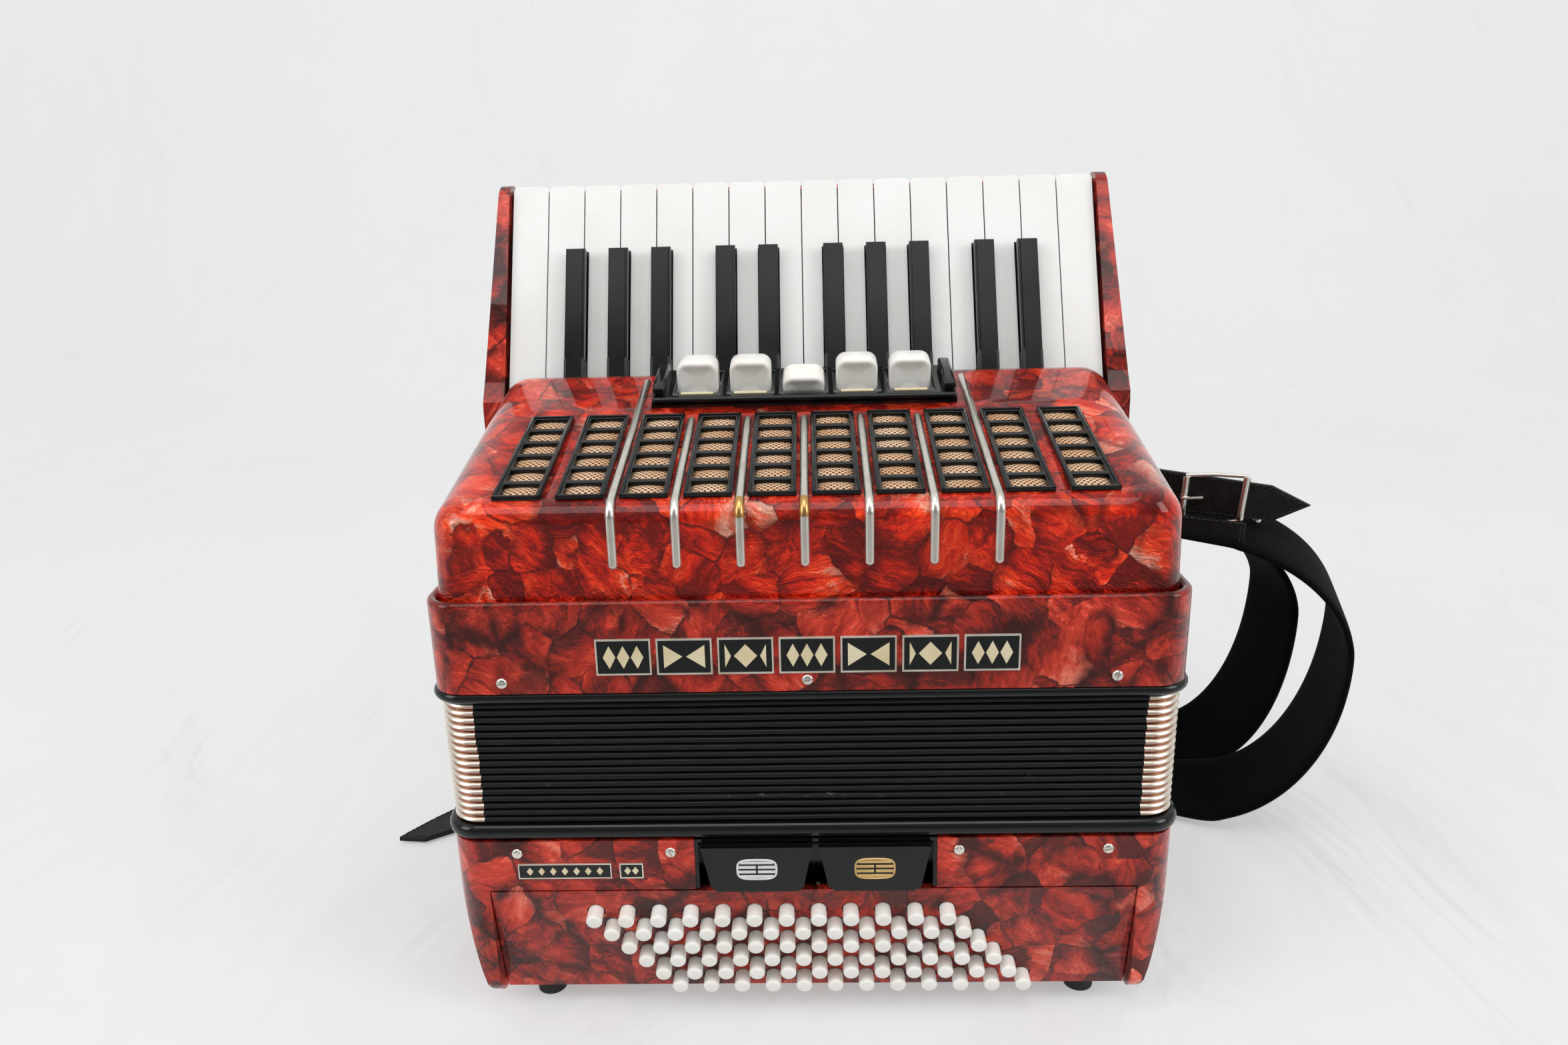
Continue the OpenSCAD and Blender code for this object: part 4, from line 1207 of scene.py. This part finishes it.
def add_rockers():
    """White tabs with a thumb hollow in front; the middle one is pressed."""
    axle_s, axle_n = ROCKER_AXLE
    start, end, top, half = 109.0, 121.0, 16.5, 9.65
    hollow = ((7.0, 1.5), (4.5, 1.1), (2.6, 0.35), (1.6, 0.0), (0.8, 0.25), (0.25, 0.8), (0.0, 1.6))
    rear = ((0.0, 1.6), (0.3, 0.7), (1.2, 0.1), (2.4, 0.0))
    stations = [(inset, start + back) for inset, back in hollow]
    stations += [(inset, end - back) for inset, back in rear]
    sections = []
    for inset, s in stations:
        outer = rocker_section(half, -3.0, top, inset)
        sections.append([Vector((x, s - axle_s, z - axle_n)) for x, z in outer])
    sideways = Matrix.Rotation(math.pi / 2, 4, "Y")
    for k in range(1, 6):
        bm = bmesh.new()
        loft(bm, sections)
        block(bm, (-half, start - axle_s + 2, 1), (half, 0, 4.5), 0.4)
        lathe(bm, [(2, -half), (2, half)], 16, sideways)
        lathe(bm, [(1, -half - 1.7), (1, half + 1.7)], 12, sideways)
        at = Matrix.Translation(((k - 3) * ROCKER_PITCH, axle_s, axle_n))
        if k == PRESSED_ROCKER:
            at = at @ Matrix.Rotation(math.radians(16), 4, "X")
        body = f"register_rocker_{k}"
        piece(f"rocker_tab_{k}", bm, SLOPE @ at, "white", body, [body])


# ---------- Ornaments, screws and buttons ----------


def raised(bm, outline_points, out):
    """Flat ornament on a front face, between two levels."""
    loft(bm, [[Vector((x, z, level)) for x, z in outline_points] for level in out])


def diamond(bm, x, z, wide, high, out):
    """Raised lozenge on a front face."""
    raised(bm, [(x + wide, z), (x, z + high), (x - wide, z), (x, z - high)], out)


def framed_plate(edges, fields, low, high, border, edge, inset, levels):
    """Metal frame round a black field, between two corners on a front face."""
    xs = [low[0], low[0] + border, high[0] - border, high[0]]
    zs = [low[1], low[1] + border, high[1] - border, high[1]]
    rim, field = levels

    def is_field(x, z):
        return xs[1] < x < xs[2] and zs[1] < z < zs[2]

    grid_slab(edges, xs, zs, is_field, 0.0, rim, edge)
    block(fields, (xs[0] + inset, zs[0] + inset, 0.0), (xs[3] - inset, zs[3] - inset, field), 0.1, 1)


def add_motif(bm, x, z, kind):
    """A plain ornament: three lozenges, a pair of facing triangles, or a lozenge in brackets."""
    out = (0.5, 0.8)
    high = 4.9
    if kind == 0:
        for step in (-1, 0, 1):
            diamond(bm, x + step * 5.6, z, 2.5, high, out)
        return
    if kind == 2:
        diamond(bm, x, z, 4.6, high, out)
    inner, outer = (5.8 if kind == 2 else 0.8), 8.2
    for side in (-1, 1):
        base = x + side * outer
        raised(bm, [(base, z - high), (base, z + high), (x + side * inner, z)], out)


def add_tiles():
    """Seven framed black tiles on the rim, with plain cream ornaments."""
    pitch, wide, high, middle_z = 24.4, 22.2, 15.4, 174.8
    edges, fields, marks = bmesh.new(), bmesh.new(), bmesh.new()
    for i in range(7):
        x = (i - 3) * pitch
        low = (x - wide / 2, middle_z - high / 2)
        far = (low[0] + wide, low[1] + high)
        framed_plate(edges, fields, low, far, 0.7, 0.2, 0.3, (0.9, 0.6))
        add_motif(marks, x, middle_z, i % 3)
    piece("tile_edges", edges, FRONT, "silver", TREBLE)
    piece("tile_fields", fields, FRONT, "black", TREBLE)
    piece("tile_marks", marks, FRONT, "cream", TREBLE)


def add_name_plates():
    """Two small framed plates on the bass box, each with a row of lozenges."""
    low, high = 73.3, 80.4
    edges, fields, marks = bmesh.new(), bmesh.new(), bmesh.new()
    for x0, x1, count in ((-124.2, -84.5, 7), (-81.0, -71.0, 2)):
        framed_plate(edges, fields, (x0, low), (x1, high), 0.5, 0.15, 0.2, (0.7, 0.45))
        for d in range(1, count + 1):
            x = x0 + d * (x1 - x0) / (count + 1)
            diamond(marks, x, (low + high) / 2, 1.4, 1.9, (0.4, 0.6))
    piece("plate_edges", edges, FRONT, "silver", BASS)
    piece("plate_fields", fields, FRONT, "black", BASS)
    piece("plate_marks", marks, FRONT, "cream", BASS)


def add_emblems():
    """A barred shield on each bass register paddle, one pale and one gilt."""
    z = 79.0
    for side, material in (("left", "pale"), ("right", "gilt")):
        node = f"bass_register_{side}"
        low, high = span(node)
        x = (low.x + high.x) / 2
        out = -low.y
        bm = bmesh.new()
        rim = []
        for across, up in arc(1.0, 0, 360, 24)[:-1]:
            rim.append(Vector((x + 8.2 * squared(across, 0.55), z + 4.6 * squared(up, 0.55), out + 0.1)))
        tube(bm, rim, 0.45, 6, closed=True)
        for level in (-3.3, -1.1, 1.1, 3.3):
            reach = 7.9 - 0.09 * level**2
            gap = 0.4 if abs(level) < 3 else 0.0
            for flank in (-1, 1):
                x0, x1 = sorted((x + flank * gap, x + flank * reach))
                bottom = (x0, z + level - 0.6, out - 0.1)
                block(bm, bottom, (x1, z + level + 0.6, out + 0.4), 0.1, 1)
        piece(f"emblem_{side}", bm, FRONT, material, node)


def slotted_screw(bm, matrix, head_r, rise, turn):
    """Pan head in two halves with a slot between them, on a shank."""
    half_slot = 0.32
    wall, floor = 0.35 * rise, 0.45 * rise
    matrix = matrix @ Matrix.Rotation(turn, 4, "Z")
    profile = [(head_r, 0.0), (head_r, wall)]
    profile += oval((0, wall), head_r, rise - wall, (25, 45, 65))
    lathe(bm, [(head_r * 0.97, 0.0), (head_r * 0.97, floor)], 20, matrix)
    for middle in (-90, 90):
        rings = []
        for radius, height in profile:
            reach = math.degrees(math.acos(min(0.98, half_slot / radius)))
            points = arc(radius, middle - reach, middle + reach, 12)
            rings.append([matrix @ Vector((x, y, height)) for x, y in points])
        loft(bm, rings)
    lathe(bm, [(1.1, -4.0), (1.1, 0.1)], 12, matrix)


def add_screws():
    """Pan-head screws through the rim and the bass box, each turned its own way."""
    rng = random.Random(7)
    for side, body, xs in (("bass", BASS, (-124, -59, 62, 124)), ("treble", TREBLE, (-123, 0, 123))):
        node = f"{side}_screws"
        low, high = span(node)
        bm = bmesh.new()
        for x in xs:
            for y, lean in ((0.0, 90), (BACK_DEPTH, -90)):
                at = Matrix.Translation((x, y, (low.z + high.z) / 2))
                at = at @ Matrix.Rotation(math.radians(lean), 4, "X")
                slotted_screw(bm, at, 2.3, 1.4, rng.random() * math.pi)
        piece(f"{side}_screw_heads", bm, CASE, "nickel", body, [node])


BUTTON_PITCH = 13.7
ROW_PITCH = 7.9
FIRST_ROW = 11.5
FIRST_BUTTON_X = -93


def add_buttons():
    """Six rows of twelve domed buttons on their rods, each row half a pitch further right."""
    radius, out, dome = 3.45, 7.0, 1.1
    under = -BOARD_THICK
    shape = [(radius * 0.92, under - 1.0), (radius * 0.96, 0.0), (radius, out - dome)]
    shape += oval((radius - dome, out - dome), dome, dome, (20, 45, 70))
    shape += [(radius - 1.3, out + 0.02), (1.0, out + 0.12)]
    flange = [(radius + 0.9, under - 1.6), (radius + 0.9, under - 0.1)]
    rod = [(1.2, under - 12), (1.2, under - 1)]
    for r in range(6):
        bm = bmesh.new()
        for c in range(12):
            x = FIRST_BUTTON_X + (c + r / 2) * BUTTON_PITCH
            at = Matrix.Translation((x, -(FIRST_ROW + r * ROW_PITCH), 0))
            for profile, steps in ((shape, 24), (flange, 16), (rod, 10)):
                lathe(bm, profile, steps, at)
        node = f"bass_buttons_row_{r + 1}"
        piece(f"{node}_caps", bm, BOARD, "white", node, [node])


def add_key_blocks():
    """Matt block at the cover's end of each black key."""
    half = 5.15
    for k in range(1, 11):
        node = f"black_key_{k}"
        low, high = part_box(node)
        middle = (KEYS.inverted() @ ((low + high) / 2)).x
        bm = bmesh.new()
        block(bm, (middle - half, -4, -0.4), (middle + half, 11, 6.9), 0.8, 2)
        piece(f"{node}_block", bm, KEYS, "matte", node)


# ---------- Straps ----------

STRAP_SWING = math.radians(26)
STRAP_THICK = 4.2
STRAP_W = 38
STRAP_END_W = 26
STRAP_REST = 3.2
STRAP_X = CASE_HALF - 5.5
STRAP_Y = BACK_DEPTH + 4
FRONT_RUN = STRAP_Y + 3
REAR_RUN = FRONT_RUN + STRAP_W + 2
LOOP_ANGLES = range(84, -79, -9)
TONGUE_BACK = 17


def strap_case_point(out, z, back):
    """Case position of a point on the plane that the strap loops hang in."""
    x = STRAP_X + out * math.cos(STRAP_SWING) + back * math.sin(STRAP_SWING)
    y = STRAP_Y - out * math.sin(STRAP_SWING) + back * math.cos(STRAP_SWING)
    return Vector((x, y, z))


def loop_edge(angle, middle, reach, rise, drop, back):
    """One edge of a hanging loop: an oval with its own rise and drop."""
    height = rise if angle > 0 else drop
    ((out, z),) = oval(middle, reach, height, [angle])
    return strap_case_point(out, z, back)


def run_pair(x, y, width, z, rise=0):
    """Edge points across the strap at one place along the case."""
    return Vector((x, y, z)), Vector((x, y + width, z + rise))


def smooth_path(pairs, steps):
    """Catmull-Rom curve through pairs of edge points."""
    padded = [pairs[0], *pairs, pairs[-1]]
    out = []
    for i in range(1, len(padded) - 2):
        for t in [k / steps for k in range(steps)]:
            pair = []
            for p0, p1, p2, p3 in zip(*padded[i - 1 : i + 3]):
                bend = (2 * p0 - 5 * p1 + 4 * p2 - p3) * t**2
                twist = (3 * p1 - p0 - 3 * p2 + p3) * t**3
                pair.append(0.5 * (2 * p1 + (p2 - p0) * t + bend + twist))
            out.append(tuple(pair))
    return [*out, pairs[-1]]


def band(bm, pairs, thick=STRAP_THICK, soft=0.6):
    """Padded strap between two edges, with a soft rounded section."""
    circle = arc(1.0, 0, 360, 20)[:-1]
    rings = []
    last = len(pairs) - 1
    for i, (near, far) in enumerate(pairs):
        before = sum(pairs[max(i - 1, 0)], Vector())
        after = sum(pairs[min(i + 1, last)], Vector())
        half = (far - near) / 2
        out = (after - before).cross(half).normalized() * thick / 2
        centre = (near + far) / 2
        rings.append([centre + half * squared(x, 0.35) + out * squared(y, soft) for x, y in circle])
    loft(bm, rings)


def front_strap_path():
    """Edges of the front strap: bracket, loop, floor run and up to the left bracket."""
    near = ((62, 110), 79, 58, 107, 0)
    far = ((62, 130), 64, 50, 108, STRAP_W)
    low = STRAP_REST
    pairs = [
        run_pair(118, FRONT_RUN - 1, STRAP_END_W, 174, 4),
        (Vector((150, STRAP_Y - 2, 173)), Vector((158, STRAP_Y + 32, 180))),
    ]
    pairs += [(loop_edge(a, *near), loop_edge(a, *far)) for a in LOOP_ANGLES]
    pairs += [
        (strap_case_point(54, low + 0.5, 2), strap_case_point(52, 17.5, STRAP_W + 1)),
        (strap_case_point(30, low, 4), strap_case_point(30, 12, STRAP_W + 2)),
        run_pair(130, FRONT_RUN + 2, STRAP_W - 1, low, 3),
        run_pair(60, FRONT_RUN, STRAP_W, low),
        run_pair(-60, FRONT_RUN, STRAP_W - 3, low),
        run_pair(-112, FRONT_RUN, STRAP_W - 8, low + 1),
        run_pair(-124, FRONT_RUN, STRAP_END_W + 1, 9),
    ]
    pairs += [run_pair(x, FRONT_RUN, STRAP_END_W, z) for x, z in ((-128, 20), (-129, 60), (-129, 166))]
    return smooth_path(pairs, 4)


def rear_strap_path():
    """Edges of the rear strap, which turns its face to the front on its way down."""
    near = ((62, 115), 50, 46, 100, STRAP_W + 6)
    far = ((30, 128), 54, 36, 100, 2 * STRAP_W - 2)
    low = STRAP_REST
    pairs = [
        run_pair(88, FRONT_RUN, STRAP_END_W, 158),
        run_pair(140, STRAP_Y + 12, 30, 160, 2),
    ]
    pairs += [(loop_edge(a, *near), loop_edge(a, *far)) for a in LOOP_ANGLES]
    pairs += [
        (Vector((203, REAR_RUN - 20, low + 9)), Vector((190, REAR_RUN + 17, 25))),
        (Vector((170, REAR_RUN - 3, low + 6)), Vector((160, REAR_RUN + 26, 20))),
        run_pair(100, REAR_RUN, STRAP_W - 1, low),
        run_pair(0, REAR_RUN, STRAP_W, low),
        run_pair(-130, REAR_RUN, STRAP_W - 3, low),
    ]
    return smooth_path(pairs, 4)


def add_straps():
    """Two padded shoulder straps, velvet on the outside of their loops."""
    bm = bmesh.new()
    band(bm, front_strap_path())
    straps = piece(
        "front_strap", bm, CASE, "velvet", TREBLE, ["shoulder_straps"], crease=70
    )
    bm = bmesh.new()
    band(bm, rear_strap_path())
    rear = piece("rear_strap", bm, CASE, "velvet", TREBLE, crease=70)


def leather_piece(name, points, matrix, thick):
    """Flat leather end from its outline, with a stitched seam just inside the edge."""
    worn = 0.5
    bottom = [Vector((x, y, 0)) for x, y in points]
    centre = sum(bottom, Vector()) / len(bottom)
    lift = Vector((0, 0, thick))
    inner = [p + lift + (centre - p).normalized() * worn for p in bottom]
    bm = bmesh.new()
    loft(bm, [bottom, [p + lift - Vector((0, 0, worn)) for p in bottom], inner])
    piece(name, bm, matrix, "leather", TREBLE)
    add_seam(f"{name}_seam", bottom, centre, matrix, thick)


def add_seam(name, points, centre, matrix, thick):
    """Row of stitches along an outline."""
    stitch, gap, margin = 2.0, 1.1, 2.4
    lift = Vector((0, 0, thick + 0.1))
    inset = [p + (centre - p).normalized() * margin + lift for p in points]
    bm = bmesh.new()
    for start, end in zip(inset, inset[1:] + inset[:1]):
        along = (end - start).normalized()
        for i in range(int((end - start).length // (stitch + gap))):
            first = start + along * (i * (stitch + gap) + gap)
            tube(bm, [first, first + along * stitch], 0.3, 5)
    piece(name, bm, matrix, "thread", TREBLE)


def strap_plane_matrix(back):
    """Upright plane of the strap loops at a distance behind their front edges."""
    origin = strap_case_point(0, 0, back)
    out = Vector((-math.sin(STRAP_SWING), -math.cos(STRAP_SWING), 0))
    return plane(origin, Vector((0, 0, 1)), out)


def add_strap_ends():
    """Buckled leather tongue at the right and the loose pointed end at the left."""
    tongue = [(-6, 181), (-6, 200), (30, 201.5), (94, 197.5), (113, 189), (96, 179), (40, 178.5)]
    leather_piece("strap_tongue", tongue, strap_plane_matrix(TONGUE_BACK), 2.6)
    under = [(84, 167.5), (84, 179), (50, 180), (20, 182), (-6, 182), (-6, 172), (40, 169.5)]
    leather_piece("strap_keeper", under, strap_plane_matrix(6), 2.4)
    tail = [(-234, 143), (-219, 141.5), (-206, 150), (-140, 228)]
    tail += [(-120, 232), (-120, 258), (-140, 257), (-222, 160)]
    floor_plane = plane(Vector((0, 0, 1.5)), Vector((0, 1, 0)), Vector((0, 0, 1)))
    leather_piece("strap_tail", tail, floor_plane, 2.6)


def add_fittings():
    """Double-bar roller buckle with its prong, and a rivet below it."""
    out = 4.0
    wires = (
        (1.9, 14, ((51, 176, out), (51.5, 187.5, out), (52, 199, out))),
        (1.9, 14, ((80, 178.5, out), (81, 190, out), (82, 201.5, out))),
        (1.1, 10, ((50.5, 176, out), (58, 174.6, out - 1), (70, 175, out - 1), (80.5, 178, out))),
        (1.1, 10, ((51.5, 199.5, out - 1), (66, 201, out - 2), (82, 202, out))),
        (0.9, 8, ((50.5, 187.5, out + 1.8), (55, 188, out + 2), (61, 188.5, out + 0.5))),
    )
    bm = bmesh.new()
    for radius, sides, path in wires:
        tube(bm, [Vector(point) for point in path], radius, sides)
    prong_eye = Matrix.Translation((51.2, 0, out)) @ Matrix.Rotation(-math.pi / 2, 4, "X")
    lathe(bm, [(2.2, 187.0), (2.2, 189.6)], 12, prong_eye)
    rivet = Matrix.Translation((88, 177.0, -2.5))
    lathe(bm, [(2.0, -6.0), (2.0, 0.4), (1.4, 1.2), (0.5, 1.5)], 16, rivet)
    matrix = strap_plane_matrix(TONGUE_BACK)
    piece("buckle", bm, matrix, "nickel", TREBLE, ["strap_fittings"])


def add_brackets():
    """Four strap brackets on the back of the rim, each with a bar and two rivets."""
    face = BACK_DEPTH
    backward = Matrix.Rotation(-math.pi / 2, 4, "X")
    bm = bmesh.new()
    for x, z in ((128, 183), (96, 168), (-128, 176), (-96, 176)):
        block(bm, (x - 12, face, z - 7), (x + 12, face + 1.5, z + 7), 0.5)
        block(bm, (x - 9, face + 1, z - 1.5), (x + 9, face + 3.8, z + 1.5), 0.6)
        for side in (-1, 1):
            at = Matrix.Translation((x + side * 9, face + 1.4, z + 4)) @ backward
            lathe(bm, [(1.4, 0.0), (1.4, 0.4), (0.9, 0.9), (0.3, 1.0)], 14, at)
    piece("strap_brackets", bm, CASE, "nickel", TREBLE)


def add_hand_strap():
    """Leather hand strap, slack under the end wall, with stitched edges and end plates."""
    low, high = span("hand_strap")
    reach = (high.x - low.x) / 2
    sag = high.z - low.z - 3.4
    steps = 24
    pairs = []
    for i in range(steps + 1):
        x = -reach + 2 * reach * i / steps
        z = high.z - 2 - sag * (1 - (x / reach) ** 2)
        pairs.append(run_pair(x, low.y, high.y - low.y, z))
    bm = bmesh.new()
    band(bm, pairs, 2.4, 0.4)
    piece("hand_strap_band", bm, CASE, "leather", BASS, ["hand_strap"], crease=70)
    seams = bmesh.new()
    for start_pair, end_pair in zip(pairs, pairs[1:]):
        for edge, inward in ((0, Vector((0, 3, -1.2))), (1, Vector((0, -3, -1.2)))):
            start = start_pair[edge] + inward
            run = end_pair[edge] + inward - start
            for k in range(3):
                ends = [start + run * (k + share) / 3 for share in (0.15, 0.8)]
                tube(seams, ends, 0.3, 5)
    piece("hand_strap_seams", seams, CASE, "thread", BASS)
    plates = bmesh.new()
    for side in (-1, 1):
        x0, x1 = sorted((side * reach, side * (reach - 10)))
        block(plates, (x0, low.y, high.z - 1.2), (x1, high.y, high.z), 0.4)
    piece("hand_strap_plates", plates, CASE, "nickel", BASS)


# ---------- Whole scene ----------

add_camera()
add_studio()
add_floor()
finish_carried_nodes()
add_bellows()
add_corner_caps()
add_bellows_frames()
add_rim()
add_cover()
add_panels()
add_strips()
add_amber_bends()
add_register_frame()
add_register_plates()
add_rockers()
add_tiles()
add_name_plates()
add_emblems()
add_screws()
add_buttons()
add_key_blocks()
add_straps()
add_strap_ends()
add_fittings()
add_brackets()
add_hand_strap()
